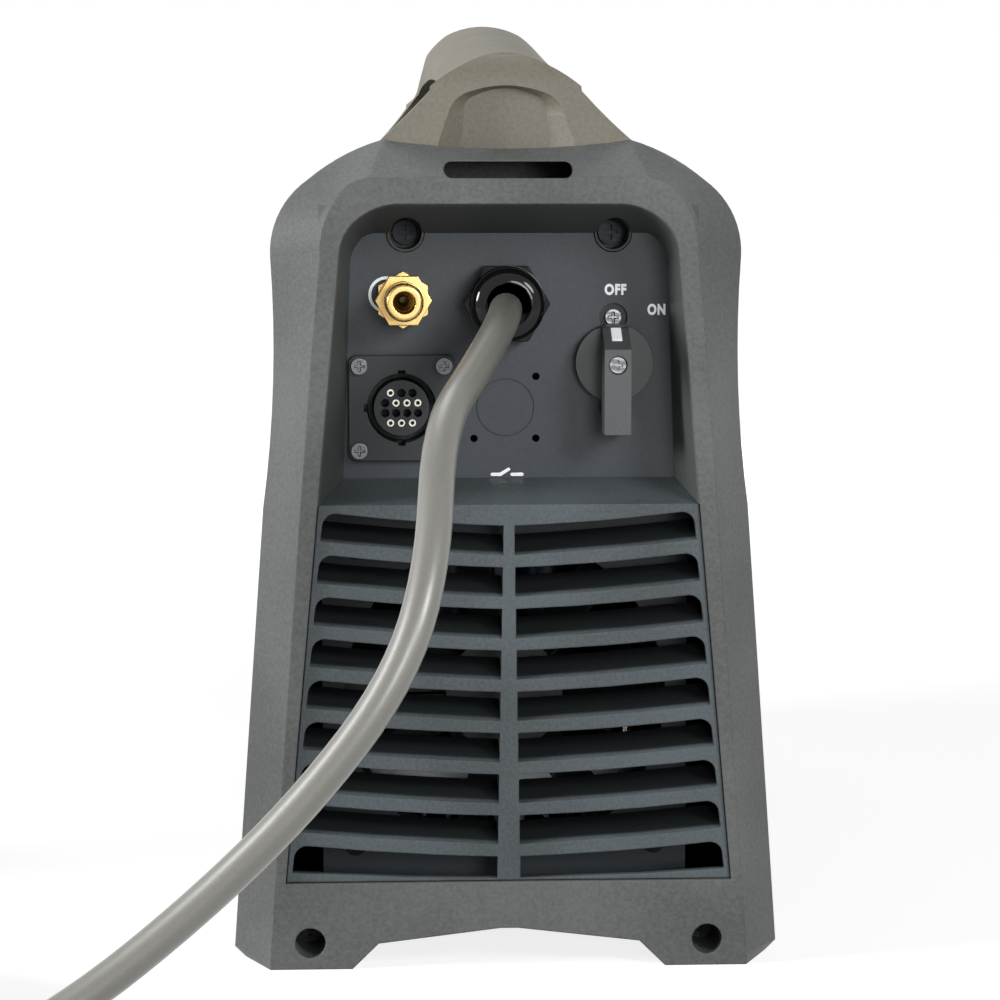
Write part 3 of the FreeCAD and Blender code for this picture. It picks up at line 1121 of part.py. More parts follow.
def make_cnc_socket():
    """Interface socket: flanged shell, contact insert, contacts and flange screws."""
    body = new_body("cnc_shell_body", ("cnc_x", "-plate_face", "cnc_z"))
    square = plane_sketch(body, "XZ_Plane", "cnc_square")
    draw_rectangle(square, ("-cnc_flange / 2", "-cnc_flange / 2"), ("cnc_flange / 2", "cnc_flange / 2"))
    flange = pad(body, square, "cnc_flange_thickness", "cnc_flange_pad")
    corners = [f"Edge{index}" for index, edge in enumerate(flange.Shape.Edges, start=1)
               if abs(edge.Vertexes[0].Point.y - edge.Vertexes[1].Point.y) > 1]
    rounding = body.newObject("PartDesign::Fillet", "cnc_corner_rounding")
    rounding.Base = (flange, corners)
    rounding.Radius = 3
    doc.recompute()
    holes = plane_sketch(body, "XZ_Plane", "cnc_screw_holes")
    for side in (-1, 1):
        for up in (-1, 1):
            draw_circle(holes, f"{side} * cnc_screw_pitch / 2", f"{up} * cnc_screw_pitch / 2",
                        "small_screw + 0.2")
    pocket_through(body, holes, "cnc_screw_hole_cut")
    spot = lambda y: ("cnc_x", y, "cnc_z")
    face = "-plate_face - cnc_flange_thickness"
    barrel = rod("cnc_barrel_rod", spot("-plate_face - 1"), "cnc_barrel / 2", "cnc_barrel_length + 1")
    groove = cut("cnc_ring_groove", rod("cnc_groove_outer", spot(f"{face} - 1"), "cnc_bore / 2",
                                        "cnc_groove + 1"),
                 rod("cnc_groove_core", spot(f"{face} - 1"), "cnc_insert / 2 + 0.1", "cnc_groove + 2"))
    seat = rod("cnc_insert_seat", spot(f"{face} - 1"), "cnc_insert / 2 + 0.1", "cnc_barrel_length - 2")
    keys = [block(f"cnc_key_{name}", (f"cnc_x + {x} - 1.1", f"{face} - 0.5", f"cnc_z + {z} - 1.1"),
                  ("2.2", "cnc_groove", "2.2"))
            for name, x, z in (("top", "0", "cnc_bore / 2"), ("left", "-cnc_bore / 2", "0"),
                               ("right", "cnc_bore / 2", "0"),
                               ("foot", "0", "-cnc_bore / 2"))]
    shell = cut("cnc_socket_shell", fuse("cnc_shell_solid", body, barrel), groove, seat, *keys)
    insert_face = f"{face} + cnc_insert_sink"
    cavities, sleeves = [], []
    for row, column, x, z in cnc_contact_places():
        spot_x, spot_z = f"cnc_x + {x} * cnc_pitch", f"cnc_z + {z} * cnc_pitch * 0.92"
        tag = f"{row}_{column}"
        cavities.append(rod(f"cnc_cavity_{tag}", (spot_x, f"{insert_face} - 1", spot_z),
                            "cnc_contact / 2 + 0.45", "9"))
        if (row, column) in CNC_PINS:
            outer = rod(f"cnc_sleeve_{tag}", (spot_x, f"{insert_face} + 0.6", spot_z),
                        "cnc_contact / 2 + 0.3", "7.4")
            bore = rod(f"cnc_sleeve_bore_{tag}", (spot_x, insert_face, spot_z), "cnc_contact / 2 - 0.25",
                       "5")
            sleeves.append(cut(f"cnc_contact_{tag}", outer, bore))
    insert = cut("cnc_socket_insert", rod("cnc_insert_rod", spot(insert_face), "cnc_insert / 2",
                                          "cnc_barrel_length - 5"), *cavities)
    contacts = group("cnc_contacts", *sleeves)
    screws = [screw(f"cnc_screw_{side_name}_{up_name}", f"cnc_x + {side} * cnc_screw_pitch / 2", face,
                    f"cnc_z + {up} * cnc_screw_pitch / 2", "small_screw_head", "small_screw_head_height",
                    "small_screw", "9")
              for side, side_name in ((-1, "left"), (1, "right")) for up,
              up_name in ((-1, "low"), (1, "high"))]
    return [shell, insert, contacts, group("cnc_screws", *screws)]


def make_switch():
    """Mains switch: block behind the panel, knob with lever, marker and screws."""
    spot = lambda y, up="0": ("switch_x", y, f"switch_z + {up}")
    back = "-plate_back + 0.1"
    case = block("switch_case", ("switch_x - switch_body_width / 2", back,
                                 "switch_z - switch_body_height / 2"),
                 ("switch_body_width", "switch_body_depth", "switch_body_height"))
    shaft_bore = rod("switch_shaft_bore", spot(f"{back} - 1"), "switch_shaft / 2 + running_gap", "17")
    screw_bores = [rod(f"switch_screw_bore_{name}", spot(f"{back} - 1", f"{up} * switch_screw_rise"),
                       "small_screw / 2 + 0.1", "9.4")
                   for name, up in (("low", "-1"), ("high", "1"))]
    body = cut("switch_body", case, shaft_bore, *screw_bores)
    disc_face = "-plate_face - knob_stand_off - knob_disc_thickness"
    disc = rod("switch_disc", spot(disc_face), "knob_disc / 2", "knob_disc_thickness")
    shaft = rod("switch_shaft_rod", spot("-plate_face - knob_stand_off - 0.1"), "switch_shaft / 2",
                "knob_stand_off + plate_thickness + 14")
    lever_start = f"{disc_face} - lever_height"
    lever = block("switch_lever", ("switch_x - lever_width / 2", lever_start, "switch_z - lever_down"),
                  ("lever_width", "lever_height + 1", "lever_down + lever_up"))
    wedge_points = [Vector(S.switch_x - 20, number(lever_start) - 1,
                           S.switch_z + S.lever_up - S.lever_bevel - 0.6),
                    Vector(S.switch_x - 20, number(lever_start) + S.lever_height - 3,
                           S.switch_z + S.lever_up + 1e-3),
                    Vector(S.switch_x - 20, number(lever_start) - 1, S.switch_z + S.lever_up + 6)]
    wedge = Part.Face(Part.makePolygon(wedge_points + wedge_points[:1])).extrude(Vector(40, 0, 0))
    counterbore = rod("switch_knob_counterbore", spot(f"{lever_start} - 1"), "small_screw_head / 2 + 0.3",
                      "4.4")
    knob_drill = rod("switch_knob_drill", spot(lever_start), "small_screw / 2 + 0.1", "16")
    slope = Vector(0, S.lever_height - 2, S.lever_bevel + 0.6).normalize()
    middle = Vector(S.switch_x, number(lever_start) + (S.lever_height - 3) / 2,
                    S.switch_z + S.lever_up - S.lever_bevel / 2) + slope * S.marker_rise
    tilt = Rotation(Vector(0, 0, 1), slope)
    wide, long = S.marker_width, S.marker_length
    marker_box = Part.makeBox(wide, 0.8, long, Vector(-wide / 2, -0.4, -long / 2))
    marker_box.Placement = Placement(middle, tilt)
    marker_seat = Part.makeBox(wide + 0.1, 3, long + 0.1, Vector(-wide / 2 - 0.05, -2.6, -long / 2 - 0.05))
    marker_seat.Placement = Placement(middle, tilt)
    knob = cut("switch_knob", fuse("switch_knob_solid", disc, shaft, lever),
               feature("lever_bevel_cut", wedge), counterbore,
               knob_drill, feature("marker_seat_cut", marker_seat))
    marker = feature("switch_marker", marker_box)
    knob_screw = screw("switch_knob_screw", "switch_x", f"{lever_start} + 3.4", "switch_z",
                       "small_screw_head",
                       "small_screw_head_height", "small_screw", "9")
    screws = [screw(f"switch_screw_{name}", "switch_x", back, f"switch_z + {up} * switch_screw_rise",
                    "small_screw_head",
                    "1.6", "small_screw", "8") for name, up in (("low", "-1"), ("high", "1"))]
    return [body, knob, marker, knob_screw, group("switch_screws", *screws)]


def make_front_fittings():
    """Display, current knob, buttons and indicator lenses of the front panel."""
    window = block("display_window",
                   ("display_x - display_width / 2", "plate_back", "display_z - display_height / 2"),
                   ("display_width", "plate_thickness + 0.6", "display_height"))
    knob_start = "plate_face + knob_stand_off"
    spot = lambda y: ("front_knob_x", y, "front_knob_z")
    grip = rod("front_knob_grip", spot(knob_start), "front_knob / 2", "front_knob_height")
    shaft = rod("front_knob_shaft_rod", spot("control_face + 4"), "front_knob_shaft / 2",
                f"{knob_start} - control_face - 3")
    flutes = [rod(f"front_knob_flute_{index}",
                  (f"front_knob_x + front_knob * 0.53 * cos({angle} deg)", f"{knob_start} + 4",
                   f"front_knob_z + front_knob * 0.53 * sin({angle} deg)"), "1.5", "front_knob_height")
              for index, angle in enumerate(range(15, 375, 30))]
    pointer = block("front_knob_pointer",
                    ("front_knob_x - 0.6", f"{knob_start} + front_knob_height - 0.6", "front_knob_z + 3"),
                    ("1.2", "2", "front_knob / 2 - 4"))
    knob = cut("current_knob", fuse("front_knob_solid", grip, shaft), *flutes, pointer)
    caps = [rod(name, (x, "plate_back - 6", "button_z"), "button_diameter / 2", "plate_thickness + 8.5")
            for name, x in (("mode_button", "mode_x"), ("test_button", "test_x"))]
    lenses = [rod(f"indicator_lens_{index}", (f"mode_x + {index} * lamp_pitch", "plate_back - 1", "lamp_z"),
                  "lamp_diameter / 2", "plate_thickness + 1.8") for index in range(4)]
    return [window, knob] + caps + [group("indicator_lenses", *lenses)]


def make_torch_socket():
    """Torch socket in the bay of the front grille, with one large and three small contacts."""
    floor = "half_length - grille_inset - bay_depth"
    spot = lambda y: ("torch_x", y, "socket_z")
    outside = fuse("torch_outside", rod("torch_flange_disc", spot(floor), "torch_flange / 2", "3.5"),
                   rod("torch_barrel_rod", spot(floor), "torch_barrel / 2", "torch_projection"),
                   rod("torch_stem", spot(f"{floor} - torch_stem"), "torch_bore / 2 + 2", "torch_stem + 1"))
    bore = rod("torch_bore_cut", spot(f"{floor} - 14"), "torch_bore / 2", "torch_projection + 15")
    places = [("middle", "0", "0", "2.6")]
    places += [(name, f"torch_bore * 0.3 * cos({angle} deg)", f"torch_bore * 0.3 * sin({angle} deg)", "1.3")
               for name, angle in (("top", 90), ("left", 210), ("right", 330))]
    pins, seats = [], []
    for name, x, z, radius in places:
        start = (f"torch_x + {x}", f"{floor} - 22", f"socket_z + {z}")
        pins.append(rod(f"torch_pin_{name}", start, radius, "30"))
        seats.append(rod(f"torch_pin_seat_{name}", start, f"{radius} + 0.05", "30"))
    return [cut("torch_socket_body", outside, bore, *seats), group("torch_socket_contacts", *pins)]


def make_work_socket():
    """Work lead socket beside it: insulated collar and brass sleeve."""
    floor = "half_length - grille_inset - bay_depth"
    spot = lambda y: ("work_x", y, "socket_z")
    collar = fuse("work_outside", rod("work_collar", spot(floor), "work_flange / 2", "work_projection"),
                  rod("work_stem", spot(f"{floor} - 18"), "work_bore / 2 + 3", "19"))
    body = cut("work_socket_body", collar,
               rod("work_bore_cut", spot(f"{floor} - 15"), "work_bore / 2", "work_projection + 16"))
    sleeve = cut("work_socket_contact", rod("work_sleeve", spot(f"{floor} - 14.5"), "work_bore / 2 - 0.1",
                                            "22"),
                 rod("work_sleeve_bore", spot(f"{floor} - 11"), "work_bore / 2 - 2", "20"))
    return [body, sleeve]


def make_fan_frame():
    """Square fan frame behind the rear panel, with its motor seat on a cross of bars."""
    start = "-plate_back + 0.1"
    square = block("fan_square", ("-fan_size / 2", start, "fan_z - fan_size / 2"),
                   ("fan_size", "fan_depth", "fan_size"))
    way = rod("fan_air_way", ("0", f"{start} - 1", "fan_z"), "fan_bore / 2", "fan_depth + 2")
    bores = [rod(f"fan_bore_{place}", (x, f"{start} - 1", z), "small_screw / 2 + 0.7", "fan_depth + 2")
             for place, x, z in fan_corners()]
    ring = cut("fan_ring", square, way, *bores)
    seat_start = f"{start} + fan_depth - 4"
    seat = rod("fan_motor_seat", ("0", seat_start, "fan_z"), "fan_hub / 2", "4")
    reach = "fan_bore / 2 + 1"
    bars = [block("fan_bar_flat", (f"-({reach})", f"{seat_start} + 1", "fan_z - 2.5"),
                  ("fan_bore + 2", "3", "5")),
            block("fan_bar_upright", ("-2.5", f"{seat_start} + 1", f"fan_z - ({reach})"),
                  ("5", "3", "fan_bore + 2"))]
    bore = rod("fan_axle_bore", ("0", f"{seat_start} - 1", "fan_z"), "fan_axle / 2 + running_gap", "10")
    return cut("fan_frame", fuse("fan_frame_solid", ring, seat, *bars), bore)


def fan_corners():
    """The four screw places of the fan."""
    for side, side_name in ((-1, "left"), (1, "right")):
        for up, up_name in ((-1, "low"), (1, "high")):
            yield f"{side_name}_{up_name}", f"{side} * fan_pitch / 2", f"fan_z + {up} * fan_pitch / 2"


def make_fan_rotor():
    """Fan rotor: cup, axle and seven twisted blades."""
    start = number("-plate_back + 0.1")
    cup_length = S.fan_depth - 7
    blades = []
    for index in range(7):
        blade = Part.makeBox((S.fan_tip - S.fan_hub) / 2 + 1.5, 16, 1.6,
                             Vector(S.fan_hub / 2 - 1.5, -8, -0.8))
        blade.Placement = Placement(Vector(), Rotation(Vector(1, 0, 0), 40))
        blade.rotate(Vector(), Vector(0, 1, 0), index * 360 / 7)
        blade.translate(Vector(0, start + 2 + cup_length / 2, S.fan_z))
        blades.append(blade)
    swept = blades[0].fuse(blades[1:]).common(cylinder_y(0, start - 5, S.fan_z, S.fan_tip,
                                                         S.fan_depth + 10))
    return fuse("fan_rotor", rod("fan_cup", ("0", "-plate_back + 2.1", "fan_z"), "fan_hub / 2 - 0.5",
                                 "fan_depth - 7"),
                rod("fan_axle_rod", ("0", "-plate_back + 4.1", "fan_z"), "fan_axle / 2", "fan_depth - 5"),
                feature("fan_blades", swept))


def make_fan():
    """Cooling fan: frame, rotor and its four screws."""
    screws = [screw(f"fan_screw_{place}", x, "-plate_face", z, "small_screw_head + 2",
                    "small_screw_head_height",
                    "small_screw + 1", "20") for place, x, z in fan_corners()]
    return [make_fan_frame(), make_fan_rotor(), group("fan_screws", *screws)]


def make_heatsink():
    """Finned heat sink on the base pan: one block with a row of slots."""
    body = new_body("heatsink", ("0", "sink_rear + sink_length", "pan_deck"))
    profile = plane_sketch(body, "XZ_Plane", "sink_profile")
    draw_rectangle(profile, ("-sink_width / 2", "0"), ("sink_width / 2", "sink_height"))
    pad(body, profile, "sink_length", "sink_bar")
    slot = plane_sketch(body, "XZ_Plane", "sink_slot")
    draw_rectangle(slot, ("-sink_width / 2 + sink_fin", "-1"),
                   ("-sink_width / 2 + sink_fin + sink_gap", "sink_height - sink_base"))
    first = pocket_through(body, slot, "sink_first_slot")
    doc.recompute()
    count = int((S.sink_width - S.sink_fin) // (S.sink_fin + S.sink_gap))
    row = body.newObject("PartDesign::LinearPattern", "sink_slots")
    row.Originals = [first]
    row.Direction = (slot, ["H_Axis"])
    row.setExpression("Length", on_sheet(f"{count - 1} * (sink_fin + sink_gap)"))
    row.Occurrences = count
    body.Tip = row
    return body


def make_standoffs():
    """Posts that carry the power board and the control board."""
    posts = []
    for side, side_name in ((-1, "left"), (1, "right")):
        for index in range(3):
            place = (f"{side} * (sink_width / 2 - 6)", f"sink_rear + 12 + {index} * (sink_length - 24) / 2",
                     "pan_deck + sink_height")
            posts.append(rod(f"power_post_{side_name}_{index}", place, "post_diameter / 2", "post_height",
                             UPRIGHT))
        for up, up_name in ((-1, "low"), (1, "high")):
            place = (f"{side} * (control_width / 2 - 5)", "control_face",
                     f"control_foot + control_height / 2 + {up} * (control_height / 2 - 5)")
            posts.append(rod(f"control_post_{side_name}_{up_name}", place, "post_diameter / 2",
                             "plate_back - control_face"))
    return group("board_standoffs", *posts)


def make_power_stage():
    """Modules on the heat sink, the power board above them, and its bulk capacitors."""
    sink_top = "pan_deck + sink_height"
    modules = [block(f"power_module_{index}",
                     ("-module_width / 2", f"sink_rear + 8 + {index} * (module_length + 12)", sink_top),
                     ("module_width", "module_length", "module_height")) for index in range(3)]
    level = f"{sink_top} + post_height"
    board = block("power_board", ("-board_width / 2", "sink_rear + 2", level),
                  ("board_width", "sink_length - 4", "board_thickness"))
    capacitors = [rod(f"bulk_capacitor_{side_name}_{index}",
                      (f"{side} * (capacitor_diameter / 2 + 4)",
                       f"sink_rear + 40 + {index} * (capacitor_diameter + 4)",
                       f"{level} + board_thickness"),
                      "capacitor_diameter / 2", "capacitor_height", UPRIGHT)
                  for side, side_name in ((-1, "left"), (1, "right")) for index in range(2)]
    return [group("power_modules", *modules), board, group("bulk_capacitors", *capacitors)]


def make_magnetics():
    """Main transformer, with its core and winding, and the output choke."""
    outer = block("core_block", ("-core_width / 2", "core_y - core_depth / 2", "pan_deck"),
                  ("core_width", "core_depth", "core_height"))
    windows = [block(f"core_window_{name}", (x, "core_y - core_depth / 2 - 1", "pan_deck + core_leg"),
                     ("core_window", "core_depth + 2", "core_height - 2 * core_leg"))
               for name, x in (("left", "-core_leg / 2 - core_window"), ("right", "core_leg / 2"))]
    core = cut("transformer_core", outer, *windows)
    build = "(core_window - 2 * fit_gap)"
    wound = block("winding_block",
                  (f"-core_leg / 2 - {build}", f"core_y - core_depth / 2 - {build}",
                   "pan_deck + core_leg + fit_gap"),
                  (f"core_leg + 2 * {build}", f"core_depth + 2 * {build}",
                   "core_height - 2 * core_leg - 2 * fit_gap"))
    around = block("winding_hole", ("-core_leg / 2 - fit_gap", "core_y - core_depth / 2 - fit_gap",
                                    "pan_deck"),
                   ("core_leg + 2 * fit_gap", "core_depth + 2 * fit_gap", "core_height"))
    winding = cut("transformer_winding", wound, around)
    middle = ("0", "choke_y", "pan_deck")
    choke = cut("output_choke", rod("choke_outside", middle, "choke_outer / 2", "choke_height", UPRIGHT),
                rod("choke_bore", middle, "choke_inner / 2", "choke_height + 1", UPRIGHT))
    return [core, winding, choke]


def make_control_board():
    """Control board behind the front panel, with the knob's potentiometer and the key switches."""
    board = block("control_sheet", ("-control_width / 2", "control_plane", "control_foot"),
                  ("control_width", "board_thickness", "control_height"))
    case = block("potentiometer_case", ("front_knob_x - 9", "control_face", "front_knob_z - 9"),
                 ("18", "8", "18"))
    neck = rod("potentiometer_neck", ("front_knob_x", "control_face + 7", "front_knob_z"),
               "front_knob_shaft / 2 + 1.5", "plate_back - control_face - 7 - fit_gap")
    bore = rod("potentiometer_bore", ("front_knob_x", "control_face + 3", "front_knob_z"),
               "front_knob_shaft / 2 + running_gap", "30")
    potentiometer = cut("potentiometer", fuse("potentiometer_solid", case, neck), bore)
    key_depth = "plate_back - 6 - button_travel - fit_gap - control_face"
    keys = [block(f"key_switch_{name}", (f"{x} - 4", "control_face", "button_z - 4"), ("8", key_depth, "8"))
            for name, x in (("mode", "mode_x"), ("test", "test_x"))]
    return group("control_board", board, potentiometer, *keys)


def make_air_line():
    """Solenoid valve on the inlet, its pressure switch, and the hose to the torch socket."""
    rear = "-plate_face + plate_thickness + air_tail - fit_gap"
    half = "valve_width / 2"
    valve = block("valve_block", (f"air_x - {half}", rear, f"air_z - {half}"),
                  ("valve_width", "valve_length", "valve_width"))
    coil = block("valve_coil", (f"air_x - {half} + 2", f"{rear} + 6", f"air_z + {half}"),
                 ("valve_width - 4", "valve_length - 14", "valve_coil_height"))
    switch = rod("pressure_switch", ("air_x", f"{rear} + valve_length / 2",
                                     f"air_z - {half} - pressure_switch_height"),
                 "8", "pressure_switch_height - 0.1", UPRIGHT)
    start = number(f"{rear} + valve_length")
    end = number("half_length - grille_inset - bay_depth - torch_stem")
    end_x = S.torch_x - 8
    route = [(S.air_x, start, S.air_z), (S.air_x, start + 45, S.air_z), (-54, -22, 224), (-63, 30, 203),
             (-64, 62, 172),
             (-60, 84, 136), (-52, 99, 104), (-45, 117, 79), (end_x, end - 28, S.socket_z),
             (end_x, end, S.socket_z)]
    return [group("solenoid_valve", valve, coil), switch, tube("air_hose", route, S.hose_diameter)]


# Flexible pieces: straight runs joined by tangent arcs, and the coil as one pipe along arcs

def rounded_path(points):
    """Edges of straight runs joined by arcs as large as the runs allow, and the radii of those arcs."""
    spots = [Vector(*point) for point in points]
    edges, radii = [], []
    last = spots[0]
    for before, corner, after in zip(spots, spots[1:], spots[2:]):
        inward, outward = corner - before, after - corner
        half_turn = inward.getAngle(outward) / 2
        reach = 0.45 * min(inward.Length, outward.Length)
        radius = reach / math.tan(half_turn)
        enter = corner - inward.normalize() * reach
        leave = corner + outward.normalize() * reach
        to_middle = ((enter + leave) * 0.5 - corner).normalize()
        middle = corner + to_middle * (radius / math.cos(half_turn) - radius)
        edges += [Part.LineSegment(last, enter).toShape(), Part.Arc(enter, middle, leave).toShape()]
        radii.append(radius)
        last = leave
    edges.append(Part.LineSegment(last, spots[-1]).toShape())
    return edges, radii


def pipe(edges, diameter):
    """A round bar along edges, and how far its volume is from section times length."""
    wire = Part.Wire(edges)
    start = edges[0].valueAt(edges[0].FirstParameter)
    ring = Part.Wire([Part.Circle(start, edges[0].tangentAt(edges[0].FirstParameter),
                                  diameter / 2).toShape()])
    solid = wire.makePipeShell([ring], True, False)
    return solid, solid.Volume / (math.pi * diameter ** 2 / 4 * wire.Length) - 1, wire


def tube(name, points, diameter):
    """A flexible tube along a route; it prints its length, its radii and how true its volume is."""
    edges, radii = rounded_path(points)
    solid, error, wire = pipe(edges, diameter)
    rounded = [round(radius) for radius in radii]
    print(f"{name}: {wire.Length:.0f} mm, radii {rounded}, volume off by {error:.5f}")
    return feature(name, solid)


def two_arcs(start, start_way, end, end_way):
    """Two arcs that join two points smoothly in given directions, and the smaller radius."""
    chord, ways = end - start, start_way + end_way
    turn = 2 * (1 - start_way.dot(end_way))
    reach = (-chord.dot(ways) + math.sqrt(chord.dot(ways) ** 2 + turn * chord.dot(chord))) / turn
    first_corner, last_corner = start + start_way * reach, end - end_way * reach
    joint = (first_corner + last_corner) * 0.5
    arcs, radii = [], []
    for near, corner, far in ((start, first_corner, joint), (joint, last_corner, end)):
        half = (near - corner).getAngle(far - corner) / 2
        radius = (near - corner).Length * math.tan(half)
        to_middle = ((near + far) * 0.5 - corner).normalize()
        middle = corner + to_middle * (radius / math.sin(half) - radius)
        arcs.append(Part.Arc(near, middle, far).toShape())
        radii.append(radius)
    return arcs, min(radii)


def coil_radius(turns):
    """Distance of the coil's centreline from its middle: steadily in, then steadily out."""
    return S.coil_inner + S.coil_pitch * abs(turns - S.coil_reversal)


def coil_point(turns):
    """The coil's centreline after some turns: on the floor, up where it reverses, then above."""
    climbed = min(max((turns - S.coil_reversal + 0.25) * 2, 0), 1)
    level = S.coil_level + S.coil_pitch * (1 - math.cos(math.pi * climbed)) / 2
    angle = -math.pi / 2 - 2 * math.pi * turns
    radius = coil_radius(turns)
    return Vector(S.coil_x + radius * math.cos(angle), S.coil_y + radius * math.sin(angle), level)


def coil_way(turns):
    """The direction of the coil's centreline there."""
    step = 1e-5
    return (coil_point(turns + step) - coil_point(turns - step)).normalize()


def coil_edges():
    """Arcs of an eighth of a turn, after a straight end of one diameter, and the least radius."""
    count = round(S.coil_turns * 4)
    places = [S.coil_turns * index / count for index in range(count + 1)]
    spots = [coil_point(place) for place in places]
    ways = [Vector(-1, 0, 0)] + [coil_way(place) for place in places[1:-1]] + [Vector(0, 1, 0)]
    edges = [Part.LineSegment(spots[0] - ways[0] * S.cable_diameter, spots[0]).toShape()]
    radii = []
    for near, near_way, far, far_way in zip(spots, ways, spots[1:], ways[1:]):
        arcs, radius = two_arcs(near, near_way, far, far_way)
        edges += arcs
        radii.append(radius)
    return edges, min(radii)


def least_gap(wire, diameter):
    """The least gap of a coiled tube to itself, on points along its centreline."""
    count = 1600
    points = wire.discretize(Number=count)
    apart = int(4 * diameter / wire.Length * count)
    pairs = ((points[i], points[j]) for i in range(0, count, 2) for j in range(i + apart, count))
    return min(first.distanceToPoint(second) for first, second in pairs) - diameter


# Where the free stretch of the lead runs, from the gland to the coil
LEAD_BENDS = (
    (0, -222, 228),
    (-13, -262, 210),
    (-27, -308, 195),
    (-29.8, -345, 155),
    (-41, -356, 122),
    (-69, -358, 86),
    (-103, -357, 53),
    (-139, -360, 25),
    (-177, -368, 6),
)


def plug_pose():
    """The lean of the plug, which lies on the rim of its collar and on the thin end of its handle."""
    rim = Vector(0, S.coil_y + S.plug_gap + S.plug_nut_length + S.plug_body_length, 0)
    drop = (S.shroud_outer - S.plug_body_root) / 2
    lean = math.degrees(math.atan2(drop, S.plug_body_length))
    return Placement(Vector(), Rotation(Vector(1, 0, 0), lean), rim)


def make_lead():
    """The free stretch of the mains lead, and its put-away coil with the tail to the plug."""
    start_x = S.coil_x + S.cable_diameter
    floor_y = S.coil_y - coil_radius(0)
    route = [(0, S.lead_start, S.gland_z)] + list(LEAD_BENDS)
    route += [(start_x + 30, floor_y, S.coil_level), (start_x, floor_y, S.coil_level)]
    free = tube("mains_cable", route, S.cable_diameter)
    edges, radius = coil_edges()
    pose = plug_pose()
    entry = pose.multVec(Vector(0, S.coil_y + S.plug_gap, S.shroud_outer / 2))
    before = pose.multVec(Vector(0, S.coil_y + S.plug_gap - 30, S.shroud_outer / 2))
    last = coil_point(S.coil_turns)
    tail = [tuple(last), (last.x, last.y + 35, last.z), (last.x, before.y, before.z),
            (last.x, entry.y, entry.z)]
    tail_edges, tail_radii = rounded_path(tail)
    solid, error, wire = pipe(edges + tail_edges, S.cable_diameter)
    print(f"mains_coil: {wire.Length:.0f} mm, least radius {min([radius] + tail_radii):.1f}, "
          f"volume off by {error:.5f}, least gap to itself {least_gap(wire, S.cable_diameter):.2f}")
    return [free, feature("mains_coil", solid)]


def make_coil_ties():
    """Three flat bands, each closed round all the strands of the coil that pass it."""
    bands = []
    thick = S.tie_thickness
    for share in (0.1, 0.42, 0.75):
        strands = [coil_radius(share + whole) for whole in range(7) if share + whole <= S.coil_turns]
        low = min(strands) - S.cable_diameter / 2 - S.tie_slack
        width = max(strands) - min(strands) + S.cable_diameter + 1.5 * S.tie_slack
        height = S.coil_pitch + S.cable_diameter + S.fit_gap
        outside = rounded_block(width + 2 * thick, S.tie_width, height + 2 * thick,
                                S.cable_diameter / 2 + thick)
        inside = rounded_block(width, S.tie_width + 2, height, S.cable_diameter / 2)
        inside.translate(Vector(thick, -1, thick))
        band = outside.cut(inside)
        band.translate(Vector(low - thick, -S.tie_width / 2, 0))
        band.rotate(Vector(), Vector(0, 0, 1), -90 - 360 * share)
        band.translate(Vector(S.coil_x, S.coil_y, 0))
        bands.append(band)
    return feature("coil_ties", Part.makeCompound(bands))


def rounded_block(width, depth, height, radius):
    """A block whose four edges along Y are rounded."""
    shape = Part.makeBox(width, depth, height)
    long_edges = [edge for edge in shape.Edges if abs(edge.tangentAt(0).y) > 0.5]
    return shape.makeFillet(radius, long_edges)


def make_plug():
    """Four-pin industrial plug lying on the floor: cable nut, handle, collar and pins."""
    x = coil_point(S.coil_turns).x
    start = "coil_y + plug_gap"
    spot = lambda y: (str(x), y, "shroud_outer / 2")
    seat = rod("plug_nut_bore", spot(f"{start} - plug_seat - 2"), "cable_diameter / 2 + cable_gap",
               "plug_seat + 2")
    nut = cut("plug_cable_nut", taper("plug_nut_cone", spot(f"{start} - plug_seat"), "plug_nut_tip / 2",
                                      "plug_nut_root / 2", "plug_nut_length + plug_seat"), seat)
    handle_start = f"{start} + plug_nut_length"
    handle = taper("plug_handle", spot(handle_start), "plug_body_root / 2", "plug_body_front / 2",
                   "plug_body_length")
    grooves = [rod(f"plug_groove_{index}",
                   (f"{x} + plug_body_front * 0.52 * cos({angle} deg)", f"{handle_start} + 18",
                    f"shroud_outer / 2 + plug_body_front * 0.52 * sin({angle} deg)"), "3",
                   "plug_body_length - 30")
               for index, angle in enumerate(range(15, 375, 30))]
    collar_start = f"{handle_start} + plug_body_length"
    pins, seats = [], []
    for name, angle in (("earth", 270), ("one", 180), ("two", 90), ("three", 0)):
        place = (f"{x} + plug_pin_circle * cos({angle} deg)", f"{collar_start} - 8",
                 f"shroud_outer / 2 + plug_pin_circle * sin({angle} deg)")
        radius = "plug_earth_pin / 2" if name == "earth" else "plug_pin / 2"
        pins.append(rod(f"plug_pin_{name}", place, radius, "plug_pin_length + 8"))
        seats.append(rod(f"plug_pin_seat_{name}", place, f"{radius} + 0.05", "plug_pin_length + 8"))
    handle = cut("plug_body", handle, *grooves, *seats)
    collar = cut("plug_shroud", rod("shroud_rod", spot(collar_start), "shroud_outer / 2", "shroud_length"),
                 rod("shroud_bore", spot(f"{collar_start} - 1"), "shroud_inner / 2", "shroud_length + 2"))
    pieces = [nut, handle, collar, group("plug_pins", *pins)]
    pose = plug_pose()
    for piece in pieces:
        piece.Placement = pose
    return pieces


